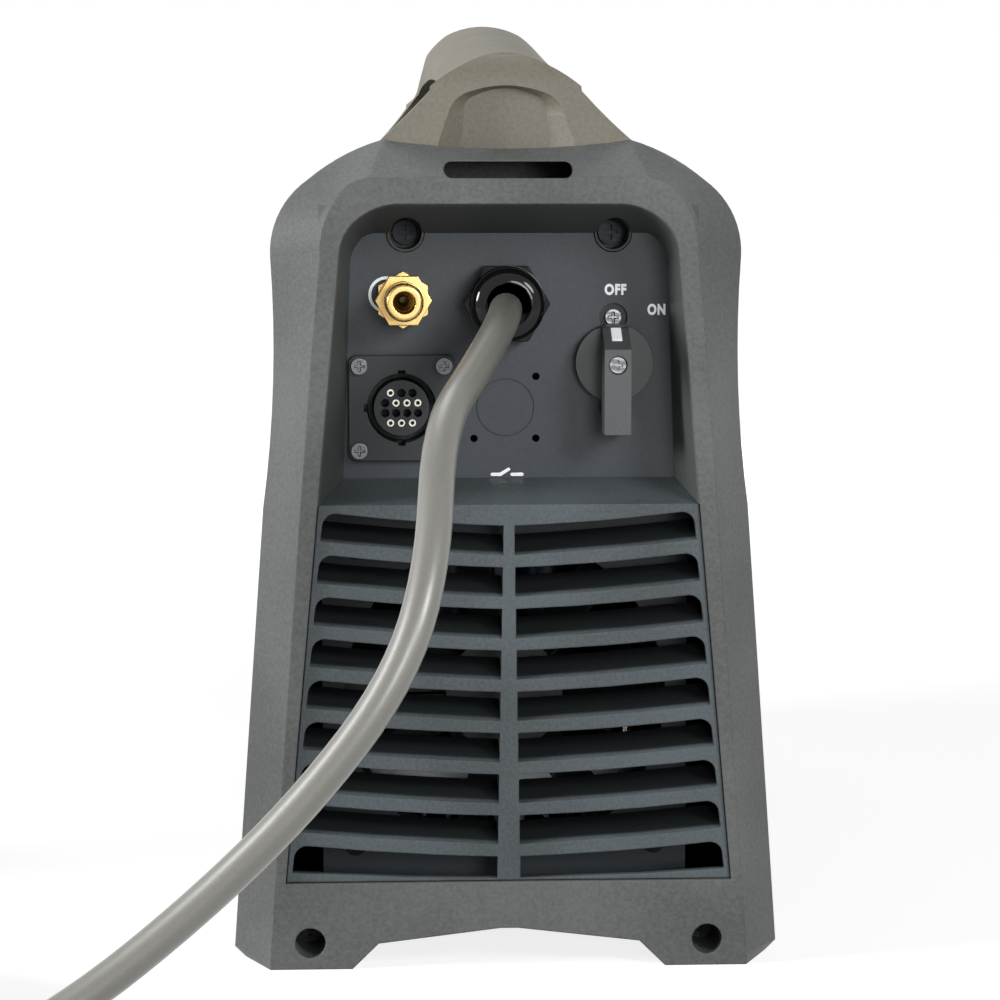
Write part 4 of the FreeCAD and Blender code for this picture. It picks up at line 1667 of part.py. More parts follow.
def make_all():
    """Every sub-part, in the order in which the unit goes together."""
    made = make_bezels() + make_grilles() + [make_cover(), make_base_pan()]
    made += make_handle() + make_screws() + [make_rear_panel(), make_front_panel()]
    made += make_gland() + make_air_inlet() + make_cnc_socket() + make_switch()
    made += make_front_fittings() + make_torch_socket() + make_work_socket() + make_fan()
    made += [make_heatsink(), make_standoffs()] + make_power_stage() + make_magnetics()
    made += [make_control_board()] + make_air_line()
    made += make_lead() + [make_coil_ties()] + make_plug()
    return made


def check_and_export(made):
    """Stop at anything broken, then write one file for each sub-part."""
    for item in doc.Objects:
        if {"Invalid", "Error"} & set(item.State):
            raise RuntimeError(f"{item.Label} did not build: {item.State}")
    os.makedirs("parts", exist_ok=True)
    for item in made:
        if item.Shape.isNull() or not item.Shape.isValid():
            raise RuntimeError(f"{item.Label} has no valid shape")
        item.Shape.exportStep(f"parts/{item.Label}.step")
    print(f"{len(made)} sub-parts")


sub_parts = make_all()
doc.recompute()
check_and_export(sub_parts)
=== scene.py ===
import json
import math
from collections import namedtuple

import bmesh
import bpy
from bpy.props import FloatProperty, FloatVectorProperty, IntProperty, PointerProperty
from bpy.types import Operator, Panel, PropertyGroup
from mathutils import Matrix, Vector


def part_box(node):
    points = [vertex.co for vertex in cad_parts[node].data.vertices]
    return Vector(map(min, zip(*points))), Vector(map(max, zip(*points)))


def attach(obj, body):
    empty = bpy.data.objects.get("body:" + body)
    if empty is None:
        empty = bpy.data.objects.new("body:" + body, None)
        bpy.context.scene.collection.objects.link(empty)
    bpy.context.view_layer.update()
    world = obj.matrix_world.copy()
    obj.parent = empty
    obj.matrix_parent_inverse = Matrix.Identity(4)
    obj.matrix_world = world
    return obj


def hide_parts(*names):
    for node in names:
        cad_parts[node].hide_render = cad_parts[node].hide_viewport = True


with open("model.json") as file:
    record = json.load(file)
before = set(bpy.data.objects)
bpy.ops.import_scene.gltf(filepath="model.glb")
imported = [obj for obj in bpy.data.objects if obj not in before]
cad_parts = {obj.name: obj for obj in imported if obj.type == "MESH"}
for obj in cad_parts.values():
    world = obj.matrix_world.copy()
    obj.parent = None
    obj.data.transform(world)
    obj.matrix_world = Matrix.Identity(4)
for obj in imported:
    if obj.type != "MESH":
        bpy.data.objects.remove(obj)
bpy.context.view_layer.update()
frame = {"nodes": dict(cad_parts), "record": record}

bl_info = {
    "name": "Plasma cutter unit",
    "version": (1, 0, 0),
    "blender": (4, 5, 0),
    "location": "3D View > Sidebar > Plasma cutter",
    "description": "Finishes, prints, mains lead and studio of a plasma cutter unit",
    "category": "Object",
}

MM = 0.001
HOUSING = "housing"
REAR_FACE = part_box("rear_panel")[0].y
FRONT_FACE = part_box("front_panel")[1].y

# Printed marks: how thick the ink is, and how much bolder and wider apart letters are than in their font.
INK = 0.06 * MM
LETTER_WEIGHT = 0.05
LETTER_SPACING = 1.15


def linear(code):
    """An sRGB hex value as linear red, green, blue and alpha."""
    shares = [int(code[i:i + 2], 16) / 255 for i in (1, 3, 5)]
    return tuple(s / 12.92 if s <= 0.04045 else ((s + 0.055) / 1.055) ** 2.4 for s in shares) + (1.0,)


def scaled(point):
    """A point of millimetres in metres."""
    return tuple(value * MM for value in point)


def tint(name, description, code):
    """A colour that a user can change."""
    return FloatVectorProperty(name=name, description=description, default=linear(code), size=4,
                               min=0, max=1, subtype="COLOR")


def position(name, description, place):
    """A place in metres that a user can change."""
    return FloatVectorProperty(name=name, description=description, default=place, size=3,
                               subtype="XYZ", unit="LENGTH")


def optic(name, description, millimetres):
    """A size of the camera in millimetres that a user can change."""
    return FloatProperty(name=name, description=description, default=millimetres, min=1, unit="CAMERA")


def length(name, description, millimetres):
    """A size, given in millimetres and kept in metres, that a user can change."""
    return FloatProperty(name=name, description=description, default=millimetres * MM, min=0,
                         subtype="DISTANCE", unit="LENGTH", precision=5)


def level(name, description, value):
    """A strength that a user can change."""
    return FloatProperty(name=name, description=description, default=value, min=0, soft_max=2,
                         subtype="FACTOR")


def lamp_power(name, description, watts):
    """The power of a lamp."""
    return FloatProperty(name=name, description=description, default=watts, min=0, unit="POWER")


# What a user can change

class StudioSettings(PropertyGroup):
    """The camera, the lamps and the floor"""
    camera_place: position("Camera place", "Where the camera stands", (-0.05827, -1.30759, 0.27715))
    camera_aim: position("Camera aim", "Point that the camera looks at", (-0.00322, -0.215, 0.16217))
    focal_length: optic("Focal length", "Lens of the camera", 116.5)
    sensor_width: optic("Sensor width", "Width of the camera's sensor", 36)
    side_power: lamp_power("Side light", "Soft lamp to the left", 40)
    key_power: lamp_power("Key light", "Soft lamp in front, to the right and above", 16)
    low_power: lamp_power("Low light", "Small lamp beside the camera, low", 9)
    top_power: lamp_power("Top light", "Soft lamp above and behind", 5)
    far_power: lamp_power("Far light", "Soft lamp beyond the unit, for its front", 10)
    sky: level("Sky", "Even light from all round", 0.06)
    floor: tint("Floor", "Pale floor under the unit", "#9a9a9a")
    floor_glow: level("Floor's glow", "How white the floor is by itself, beside the unit", 0.82)
    glow_to: length("Glow to", "Distance up to which the floor has no more than its glow", 300)
    white_from: length("White from", "Distance at which the floor is all white", 1600)


class LeadSettings(PropertyGroup):
    """The mains lead, its coil and the coil's straps"""
    diameter: length("Lead diameter", "Four-core rubber mains lead", 11.2)
    coil_radius: length("Inner radius", "Smallest radius of the coil's centreline", 45)
    coil_pitch: length("Pitch", "From turn to turn and from layer to layer", 11.8)
    coil_level: length("Lower layer", "Height of the lower layer's centreline", 7.2)
    turn_points: IntProperty(name="Points in a turn", description="Control points for each turn of the coil",
                             default=24, min=12)
    strap_width: length("Strap width", "Straps round the coil", 14)
    strap_thickness: length("Strap thickness", "Straps round the coil", 1.6)


class FinishSettings(PropertyGroup):
    """The colours of the mouldings, sheets, lead, brass and print"""
    bezel: tint("Bezels", "Charcoal moulding of the bezels", "#5a5d5c")
    grille: tint("Grilles", "Moulding of the louvres", "#4f5659")
    handle: tint("Handle", "Paler moulding of the handle", "#716c60")
    panel: tint("Panels", "Satin black sheet behind the fittings", "#43484d")
    cover: tint("Cover", "Powder-coated steel cover", "#3b3f42")
    lead: tint("Mains lead", "Grey rubber jacket", "#5b5a52")
    knob: tint("Switch knob", "Dark grey moulding of the knobs", "#4a4f50")
    socket: tint("Sockets", "Black moulding of the sockets", "#2c2f31")
    brass: tint("Brass", "Turned brass of the air inlet", "#cbab70")
    ink: tint("Print", "White ink of the marks", "#f6f8fa")


# Materials

# A wave texture runs through this many radians in one unit, at a scale of one.
WAVE = 20

# Nearly all of the sum of two noises lies between these.
SUM_FROM, SUM_TO = 0.75, 1.25

# Turned metal: how much darker its dull and bright patches and the painted shade of its bore are, and the
# spread of its roughness.
DULL, BRIGHT, BORE_SHADE = 0.12, -0.06, 0.75
SMOOTHER, ROUGHER = 0.75, 1.3

# Painted shade: the part of a moulding that is darker by a share, nearer the middle planes than a reach
# along Y and a half width along X, and below a top, in millimetres.
Inside = namedtuple("Inside", "share reach half_width top")


def add(tree, kind, sockets=None, **settings):
    """Adds a node with its settings, and sets or links each of its sockets."""
    made = tree.nodes.new(kind)
    for key, value in settings.items():
        setattr(made, key, value)
    for key, value in (sockets or {}).items():
        if isinstance(value, bpy.types.NodeSocket):
            tree.links.new(value, made.inputs[key])
        else:
            made.inputs[key].default_value = value
    return made


def start(name, **shader):
    """A new material with its shader's sockets set; gives it, its tree, its shader and the object's space."""
    material = bpy.data.materials.new(name)
    material.use_nodes = True
    tree = material.node_tree
    surface = tree.nodes["Principled BSDF"]
    for socket, value in shader.items():
        surface.inputs[socket.replace("_", " ")].default_value = value
    return material, tree, surface, add(tree, "ShaderNodeTexCoord").outputs["Object"]


def darker(colour, share):
    """The colour made darker, or lighter for a share below nought."""
    return tuple(min(1.0, channel * (1 - share)) for channel in colour[:3]) + (1.0,)


def per(millimetres):
    """The texture scale at which one feature has that size."""
    return 1 / (millimetres * MM)


def mixed(tree, share, first, second):
    """The first colour where the share is nought, the second where it is one."""
    return add(tree, "ShaderNodeMix", {"Factor": share, "A": first, "B": second},
               data_type="RGBA").outputs["Result"]


def maths(tree, operation, *values):
    """The outcome of a sum with sockets or numbers."""
    return add(tree, "ShaderNodeMath", dict(enumerate(values)), operation=operation).outputs[0]


def ranged(tree, value, low, high, first, last, **settings):
    """A value moved from between low and high to between first and last."""
    return add(tree, "ShaderNodeMapRange", {"Value": value, "From Min": low, "From Max": high,
                                            "To Min": first, "To Max": last}, **settings).outputs[0]


def noise(tree, place, size, detail=2, roughness=0.5):
    """Noise with features of a size in mm."""
    return add(tree, "ShaderNodeTexNoise", {"Vector": place, "Scale": per(size), "Detail": detail,
                                            "Roughness": roughness}).outputs[0]


def waves(tree, place, size, distortion=0, **settings):
    """Bands or rings that run through one radian of their wave in a size in mm."""
    return add(tree, "ShaderNodeTexWave", {"Vector": place, "Scale": per(size) / WAVE,
                                           "Distortion": distortion}, **settings).outputs["Fac"]


def with_painted_shade(tree, place, base, colour, painted_shade):
    """The base, with painted shade: the colour darkened in a moulding's hollows."""
    fade = 1.5 * MM
    parts = add(tree, "ShaderNodeSeparateXYZ", {0: place}).outputs
    reach = painted_shade.reach * MM
    mask = ranged(tree, maths(tree, "ABSOLUTE", parts["Y"]), reach - fade, reach, 1, 0)
    for value, limit in ((maths(tree, "ABSOLUTE", parts["X"]), painted_shade.half_width), (parts["Z"], painted_shade.top)):
        mask = maths(tree, "MULTIPLY", mask, maths(tree, "LESS_THAN", value, limit * MM))
    return mixed(tree, mask, base, darker(colour, painted_shade.share))


def finished(made, base, height, depth, soft=0):
    """A material with its base colour and a bump of a depth in mm; soft is the radius of its small edges."""
    material, tree, surface, _ = made
    tree.links.new(base, surface.inputs["Base Color"])
    bump = add(tree, "ShaderNodeBump", {"Height": height, "Distance": depth * MM})
    if soft:
        rounded = add(tree, "ShaderNodeBevel", {"Radius": soft * MM}, samples=6)
        tree.links.new(rounded.outputs[0], bump.inputs["Normal"])
    tree.links.new(bump.outputs[0], surface.inputs["Normal"])
    return material


def grained(name, colour, grain, depth, contrast, cloud, stretch=(1, 1, 1), painted_shade=None, soft=0, **shader):
    """A finish with a grain of a size and depth in mm, whose colour varies in fine specks and soft clouds."""
    made = start(name, **shader)
    _, tree, _, place = made
    drawn = add(tree, "ShaderNodeMapping", {"Vector": place, "Scale": stretch}).outputs[0]
    specks = noise(tree, drawn, grain, detail=3, roughness=0.6)
    clouds = noise(tree, place, cloud)
    tone = ranged(tree, maths(tree, "ADD", specks, clouds), SUM_FROM, SUM_TO, 0, 1)
    base = mixed(tree, tone, darker(colour, contrast), darker(colour, -contrast))
    # Painted shade in the hollows that are given.
    if painted_shade:
        base = with_painted_shade(tree, place, base, colour, painted_shade)
    return finished(made, base, specks, depth, soft)


def turned(name, colour, cloud, axis=(0, 0), marks=0.35, depth=0.02, bore=0, painted_shade=None, **shader):
    """A lathe-turned metal: fine rings about an axis along Y, a tone that varies over a cloud's size in mm,
    painted shade down a bore of a radius in mm, and painted shade in the hollows that are given."""
    made = start(name, Metallic=1.0, **shader)
    _, tree, surface, place = made
    centre = scaled((-axis[0], 0, -axis[1]))
    centred = add(tree, "ShaderNodeMapping", {"Vector": place, "Location": centre}).outputs[0]
    rings = waves(tree, centred, marks, distortion=0.6, wave_type="RINGS", rings_direction="Y")
    clouds = noise(tree, place, cloud, detail=3)
    base = mixed(tree, clouds, darker(colour, DULL), darker(colour, BRIGHT))
    # Painted shade down the bore.
    if bore:
        flat = add(tree, "ShaderNodeVectorMath", {0: centred, 1: (1, 0, 1)}, operation="MULTIPLY").outputs[0]
        radius = add(tree, "ShaderNodeVectorMath", {0: flat}, operation="LENGTH").outputs["Value"]
        base = mixed(tree, maths(tree, "LESS_THAN", radius, bore * MM), base, darker(colour, BORE_SHADE))
    # Painted shade in the hollows that are given.
    if painted_shade:
        base = with_painted_shade(tree, place, base, colour, painted_shade)
    sheen = surface.inputs["Roughness"]
    rough = sheen.default_value
    tree.links.new(ranged(tree, clouds, 0, 1, rough * SMOOTHER, rough * ROUGHER), sheen)
    return finished(made, base, rings, depth)


def woven(name, colour, rib, depth):
    """A woven strap, from its own UV in metres: ribs across it and ends along it, a radian of a rib in mm;
    painted light on the raised crossings and painted shade between them.
    """
    made = start(name, Roughness=0.8, Sheen_Weight=0.3, Sheen_Roughness=0.5)
    _, tree, _, _ = made
    flat = add(tree, "ShaderNodeTexCoord").outputs["UV"]
    ribs = waves(tree, flat, rib, wave_type="BANDS", bands_direction="X")
    ends = waves(tree, flat, rib * 0.7, wave_type="BANDS", bands_direction="Y")
    cross = maths(tree, "MULTIPLY", ribs, ends)
    return finished(made, mixed(tree, cross, darker(colour, 0.5), darker(colour, -0.5)), cross, depth)


def wound(name, colour, band, axis):
    """Enamelled copper wire laid side by side along an axis, a radian of each band in mm, with painted shade
    between the turns.
    """
    made = start(name, Metallic=1.0, Roughness=0.28, Coat_Weight=0.6, Coat_Roughness=0.15)
    _, tree, _, place = made
    turns = waves(tree, place, band, distortion=0.3, wave_type="BANDS", bands_direction=axis,
                  wave_profile="SIN")
    return finished(made, mixed(tree, turns, darker(colour, 0.55), colour), turns, depth=band / 3)


def laminate(name, mask, track, pitch):
    """A printed circuit board: solder mask over copper tracks, drawn wider than real ones so they show."""
    made = start(name, Roughness=0.3, IOR=1.5)
    _, tree, _, place = made
    board, gap = (1, 1, 1, 1), (0, 0, 0, 1)
    tracks = add(tree, "ShaderNodeTexBrick", {
        "Vector": place, "Scale": per(pitch), "Color1": board, "Color2": board, "Mortar": gap,
        "Mortar Size": 0.08}).outputs["Fac"]
    return finished(made, mixed(tree, tracks, mask, track), tracks, depth=0.04)


def mouldings(chosen):
    """The finishes of the housing's own parts, in colours that a user can change."""
    return {
        # Spark-eroded ABS, injection moulded: a fine even grain breaks its sheen up; painted shade darkens
        # the recess.
        "bezel_plastic": grained(
            "Spark-eroded ABS, charcoal", chosen.bezel, grain=1.3, depth=0.13, contrast=0.24, cloud=60,
            painted_shade=Inside(share=0.36, reach=213.5, half_width=64.5, top=262), soft=0.8,
            Roughness=0.48, IOR=1.5, Specular_IOR_Level=0.3),
        # The same resin from a finer mould, cooler; painted shade makes its louvres' insides look nearly
        # black.
        "grille_plastic": grained(
            "Spark-eroded ABS, slate", chosen.grille, grain=1.2, depth=0.1, contrast=0.24, cloud=40,
            painted_shade=Inside(share=0.82, reach=211.5, half_width=90, top=157), soft=0.7,
            Roughness=0.46, IOR=1.5, Specular_IOR_Level=0.25),
        # Glass-filled polyamide: paler and chalky, with the short fibres just to be seen.
        "handle_plastic": grained(
            "Glass-filled polyamide, stone grey", chosen.handle, grain=1.3, depth=0.12, contrast=0.16,
            cloud=50, Roughness=0.58, IOR=1.53, Specular_IOR_Level=0.42),
        # Powder coat on steel sheet, fine: a satin skin with a slight orange peel.
        "panel_paint": grained(
            "Satin powder coat, black", chosen.panel, grain=1.8, depth=0.05, contrast=0.07, cloud=45,
            Roughness=0.42, IOR=1.5, Specular_IOR_Level=0.22),
        # Powder coat, textured: coarse and matt, so that folds and edges stay soft.
        "cover_paint": grained(
            "Textured powder coat, anthracite", chosen.cover, grain=1.1, depth=0.16, contrast=0.16, cloud=60,
            Roughness=0.6, IOR=1.5, Specular_IOR_Level=0.4),
        # Extruded chloroprene: a dull soft sheen, faint dust and a slightly uneven skin.
        "cable_rubber": grained(
            "Extruded chloroprene, grey", chosen.lead, grain=1.3, depth=0.05, contrast=0.1, cloud=35,
            Roughness=0.5, IOR=1.52, Specular_IOR_Level=1.0, Coat_Weight=1.0, Coat_Roughness=0.3),
        # Thermoset moulding: near black, dry, with a slight grain.
        "socket_plastic": grained(
            "Moulded thermoset, black", chosen.socket, grain=0.8, depth=0.05, contrast=0.12, cloud=20,
            Roughness=0.46, IOR=1.55, Specular_IOR_Level=0.25),
        # Polycarbonate blend: dark grey and silky on the grip, with painted shade darkening the disc under
        # it.
        "knob_plastic": grained(
            "Moulded polycarbonate, dark grey", chosen.knob, grain=0.8, depth=0.04, contrast=0.1, cloud=25,
            painted_shade=Inside(share=0.7, reach=194, half_width=90, top=400),
            Roughness=0.38, IOR=1.58, Specular_IOR_Level=0.28),
        # Two-shot marker and print: dense, with a faint painted glow that makes it look whiter than the light
        # on it.
        "marker_white": grained(
            "Screen-printed ink, white", chosen.ink, grain=0.5, depth=0.01, contrast=0.03, cloud=10,
            Roughness=0.4, IOR=1.5, Emission_Color=(0.9, 0.95, 1.0, 1.0), Emission_Strength=0.15),
    }


def bought_plastics():
    """The finishes of the bought parts of plastic and rubber."""
    return {
        # Thermoplastic elastomer: deep black, no gloss, a soft bloom on its raised grain.
        "grip_rubber": grained(
            "Moulded elastomer, black", linear("#1f2122"), grain=1.0, depth=0.12, contrast=0.2, cloud=20,
            Roughness=0.85, Sheen_Weight=0.15),
        # Polished polyamide: black and wet-looking, with long clear highlights.
        "gland_plastic": grained(
            "Polished polyamide, black", linear("#0c0d0e"), grain=3.0, depth=0.01, contrast=0.1, cloud=20,
            Roughness=0.07, IOR=1.53, Specular_IOR_Level=0.24),
        # Nylon strap, woven: ribs across the band, matt with a soft sheen, with painted light on the raised
        # crossings and painted shade between them.
        "tie_strap": woven("Woven nylon, black", linear("#232527"), rib=1.4, depth=0.3),
        # Impact-modified polyamide, moulded: even, half matt.
        "plug_plastic": grained(
            "Moulded polyamide, dark grey", linear("#3d4143"), grain=1.0, depth=0.05, contrast=0.1, cloud=40,
            Roughness=0.45, IOR=1.53),
        # The same resin in red and with more gloss, as on a three-phase collar.
        "plug_collar_plastic": grained(
            "Moulded polyamide, red", linear("#b5231d"), grain=1.4, depth=0.03, contrast=0.06, cloud=40,
            Roughness=0.32, IOR=1.53),
        # Polyurethane tube: clear blue, shiny.
        "hose_plastic": grained(
            "Extruded polyurethane, blue", linear("#2f6fb5"), grain=4.0, depth=0.01, contrast=0.08, cloud=30,
            Roughness=0.2, IOR=1.5),
        # Acrylic sheet, smoked: black glass to the eye.
        "smoked_window": grained(
            "Cast acrylic, smoked", linear("#0d0f11"), grain=6.0, depth=0.0, contrast=0.05, cloud=30,
            Roughness=0.05, IOR=1.49),
        # Light ABS caps: even and half matt.
        "button_plastic": grained(
            "Moulded ABS, light grey", linear("#a9adae"), grain=0.8, depth=0.03, contrast=0.05, cloud=10,
            Roughness=0.42, IOR=1.5),
        # Diffusing polycarbonate lenses: milky, glossy.
        "lens_plastic": grained(
            "Moulded polycarbonate, milky", linear("#d9dad2"), grain=2.0, depth=0.0, contrast=0.04, cloud=10,
            Roughness=0.15, IOR=1.58, Subsurface_Weight=0.3, Subsurface_Scale=0.002),
        # Glass-filled polyester of a fan: black, dry.
        "fan_plastic": grained(
            "Glass-filled polyester, black", linear("#202224"), grain=1.0, depth=0.06, contrast=0.15,
            cloud=25, Roughness=0.5, IOR=1.57, Specular_IOR_Level=0.4),
        # Solder mask on glass cloth: glossy green, with the tracks standing up under it.
        "board_laminate": laminate("Solder mask on glass laminate", mask=linear("#1f5b3a"),
                                   track=linear("#2f7a4c"), pitch=6.0),
        # Heat-shrunk sleeve of a capacitor: dark blue, thin and shiny.
        "capacitor_sleeve": grained(
            "Heat-shrunk sleeve, navy", linear("#1d2b4a"), grain=3.0, depth=0.02, contrast=0.08, cloud=15,
            Roughness=0.28, IOR=1.5),
    }


def metals(chosen):
    """The finishes of steel, brass, contacts, aluminium, ferrite and copper."""
    return {
        # Powder coat, textured, on the steel pan: as coarse as the cover's, a little paler.
        "pan_steel": grained(
            "Textured powder coat, graphite", linear("#44484b"), grain=1.1, depth=0.14, contrast=0.16,
            cloud=60, Roughness=0.58, IOR=1.5, Specular_IOR_Level=0.4),
        # Hot-blacked steel: nearly black, with a dry metallic glint on its edges.
        "dark_steel": turned("Blackened steel, turned", linear("#222325"), cloud=6, Roughness=0.38),
        # Zinc plate: cool silver, slightly cloudy.
        "bright_steel": turned("Zinc-plated steel", linear("#66686a"), cloud=3, Roughness=0.24),
        # Nickel plate: warm silver with a soft mirror.
        "nickel": turned("Nickel-plated brass", linear("#c9c5ba"), cloud=4, Roughness=0.2),
        # Free-cutting brass, turned: pale yellow faces with fine tool rings, and painted shade down its bore.
        "air_brass": turned("Turned brass", chosen.brass, cloud=5, axis=(-35.4, 229), marks=0.5, depth=0.015,
                            bore=3.4, Roughness=0.26),
        # Tin-silver plate on contacts: pale, a little yellow, with painted shade down their bores.
        "contact_metal": turned("Tin-plated contacts", linear("#cfccc0"), cloud=2, Roughness=0.3,
                                painted_shade=Inside(share=0.93, reach=185.4, half_width=60, top=215)),
        # Extruded aluminium: draw lines run along the fins.
        "bare_aluminium": grained(
            "Extruded aluminium", linear("#c3c6c9"), grain=0.6, depth=0.05, contrast=0.08, cloud=25,
            stretch=(1, 0.03, 1), Metallic=1.0, Roughness=0.34),
        # Sintered ferrite: charcoal, dry, faintly metallic.
        "ferrite": grained(
            "Sintered ferrite", linear("#3a3a3c"), grain=0.7, depth=0.06, contrast=0.2, cloud=15,
            Roughness=0.55, Metallic=0.3),
        # Enamelled wire: warm and glossy, in soft bands, with painted shade between the turns.
        "copper": wound("Enamelled copper winding", linear("#b4632f"), band=1.6, axis="Y"),
    }


def make_finishes(chosen):
    """One material for each of the record's slots."""
    return {**mouldings(chosen), **bought_plastics(), **metals(chosen)}


def finish_of(slot):
    """The material of a slot, made with all the others when one is first asked for."""
    scene = bpy.context.scene
    if "finishes" not in scene:
        scene["finishes"] = {key: made.name for key, made in make_finishes(scene.cutter_finish).items()}
    return bpy.data.materials[scene["finishes"][slot]]


# Meshes

def show(name, data, slot, body=HOUSING):
    """Puts a mesh or a curve in the scene with a slot's finish, riding on a body."""
    piece = bpy.data.objects.new(name, data)
    bpy.context.scene.collection.objects.link(piece)
    if not data.materials:
        data.materials.append(finish_of(slot))
    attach(piece, body)
    return piece


def from_bmesh(name, form, smooth=True):
    """A mesh of a bmesh, with its normals turned outwards."""
    bmesh.ops.recalc_face_normals(form, faces=form.faces)
    for face in form.faces:
        face.smooth = smooth
    mesh = bpy.data.meshes.new(name)
    form.to_mesh(mesh)
    form.free()
    return mesh


def tube_of(rings, closed=False):
    """A bmesh skin through rings of points, with UV in metres along the rings and round them."""
    form = bmesh.new()
    layer = form.loops.layers.uv.new("along")
    rows = [[form.verts.new(point) for point in ring] for ring in rings]
    along = [0.0]
    for first, second in zip(rings, rings[1:] + rings[:1]):
        along.append(along[-1] + (Vector(second[0]) - Vector(first[0])).length)
    around = [0.0]
    for first, second in zip(rings[0], rings[0][1:] + rings[0][:1]):
        around.append(around[-1] + (Vector(second) - Vector(first)).length)
    count = len(rings) if closed else len(rings) - 1
    sides = len(rings[0])
    for i in range(count):
        for j in range(sides):
            k, m = (i + 1) % len(rings), (j + 1) % sides
            face = form.faces.new((rows[i][j], rows[i][m], rows[k][m], rows[k][j]))
            for loop, place in zip(face.loops, ((i, j), (i, j + 1), (i + 1, j + 1), (i + 1, j))):
                loop[layer].uv = (along[place[0]], around[place[1]])
    if not closed:
        form.faces.new(rows[0])
        form.faces.new(rows[-1][::-1])
    return form


def band_ring(corner, outward, side, width, thickness, soften=0.35):
    """The outline of a flat band's section at a corner point, its edges softened."""
    cut = thickness * soften
    outline = ((0, cut), (cut, 0), (width - cut, 0), (width, cut),
               (width, thickness - cut), (width - cut, thickness), (cut, thickness), (0, thickness - cut))
    return [tuple(corner + side * (across - width / 2) + outward * up) for across, up in outline]


def printed(name, shapes, face_y, facing):
    """Closed shapes in X and Z, in metres, printed on a panel's face. A pair of loops makes a band."""
    form = bmesh.new()
    near_y, far_y = face_y + facing * INK, face_y
    for shape in shapes:
        loops = shape if isinstance(shape, tuple) else (shape,)
        near = [[form.verts.new((x, near_y, z)) for x, z in loop] for loop in loops]
        far = [[form.verts.new((x, far_y, z)) for x, z in loop] for loop in loops]
        count = len(near[0])
        if len(loops) == 1:
            form.faces.new(near[0])
            form.faces.new(far[0][::-1])
        for i in range(count):
            j = (i + 1) % count
            for edge, back in zip(near, far):
                form.faces.new((edge[j], edge[i], back[i], back[j]))
            if len(loops) == 2:
                form.faces.new((near[0][i], near[0][j], near[1][j], near[1][i]))
                form.faces.new((far[0][j], far[0][i], far[1][i], far[1][j]))
    return from_bmesh(name, form, smooth=False)


def arc_points(centre, radius, start_angle, end_angle, steps):
    """Points on an arc."""
    angles = [start_angle + (end_angle - start_angle) * step / steps for step in range(steps + 1)]
    return [(centre[0] + math.cos(angle) * radius, centre[1] + math.sin(angle) * radius) for angle in angles]


def circle(centre, radius, steps=72):
    """Points round a circle."""
    return arc_points(centre, radius, 0, 2 * math.pi, steps)[:-1]


def rounded_frame(centre, wide, high, corner, steps=8):
    """Points round a rectangle with rounded corners."""
    loop = []
    for quarter, (right, up) in enumerate(((1, 1), (-1, 1), (-1, -1), (1, -1))):
        middle = (centre[0] + right * (wide / 2 - corner), centre[1] + up * (high / 2 - corner))
        loop += arc_points(middle, corner, math.pi / 2 * quarter, math.pi / 2 * (quarter + 1), steps)
    return loop


def bent(points, width, steps=8):
    """The outline of a line through points, with round ends."""
    spots = [Vector(point) for point in points]
    ways = [(after - before).normalized() for before, after in zip(spots, spots[1:])]
    sides = []
    for before, after in zip(ways, ways[1:]):
        across = Vector((-before.y - after.y, before.x + after.x)).normalized()
        sides.append(across * (width / 2 / across.dot(Vector((-before.y, before.x)))))
    caps = []
    for spot, way in ((spots[-1], ways[-1]), (spots[0], -ways[0])):
        turn = math.atan2(way.y, way.x)
        caps.append(arc_points(spot, width / 2, turn - math.pi / 2, turn + math.pi / 2, steps))
    inner = list(zip(spots[1:-1], sides))
    left = [tuple(spot + side) for spot, side in reversed(inner)]
    right = [tuple(spot - side) for spot, side in inner]
    return caps[0] + left + caps[1] + right


def lettering(name, words, low, high, face_y, facing):
    """Plain letters or numbers, fitted to a box in X and Z on a panel's face."""
    text = bpy.data.curves.new(name, "FONT")
    text.body = words
    text.offset = LETTER_WEIGHT
    text.space_character = LETTER_SPACING
    text.resolution_u = 6
    helper = bpy.data.objects.new(name + "_outline", text)
    bpy.context.scene.collection.objects.link(helper)
    bpy.context.view_layer.update()
    mesh = bpy.data.meshes.new_from_object(helper)
    bpy.data.objects.remove(helper)
    xs = [vert.co.x for vert in mesh.vertices]
    ys = [vert.co.y for vert in mesh.vertices]
    wide = (high[0] - low[0]) / (max(xs) - min(xs))
    tall = (high[1] - low[1]) / (max(ys) - min(ys))
    form = bmesh.new()
    form.from_mesh(mesh)
    bmesh.ops.remove_doubles(form, verts=form.verts, dist=1e-4)
    for vert in form.verts:
        across, up = (vert.co.x - min(xs)) * wide, (vert.co.y - min(ys)) * tall
        x = low[0] + across if facing < 0 else high[0] - across
        vert.co = Vector((x, face_y + facing * INK, low[1] + up))
    raised = bmesh.ops.extrude_face_region(form, geom=form.faces[:])
    for vert in raised["geom"]:
        if isinstance(vert, bmesh.types.BMVert):
            vert.co.y = face_y
    bpy.data.meshes.remove(mesh)
    return from_bmesh(name, form, smooth=False)


# Making

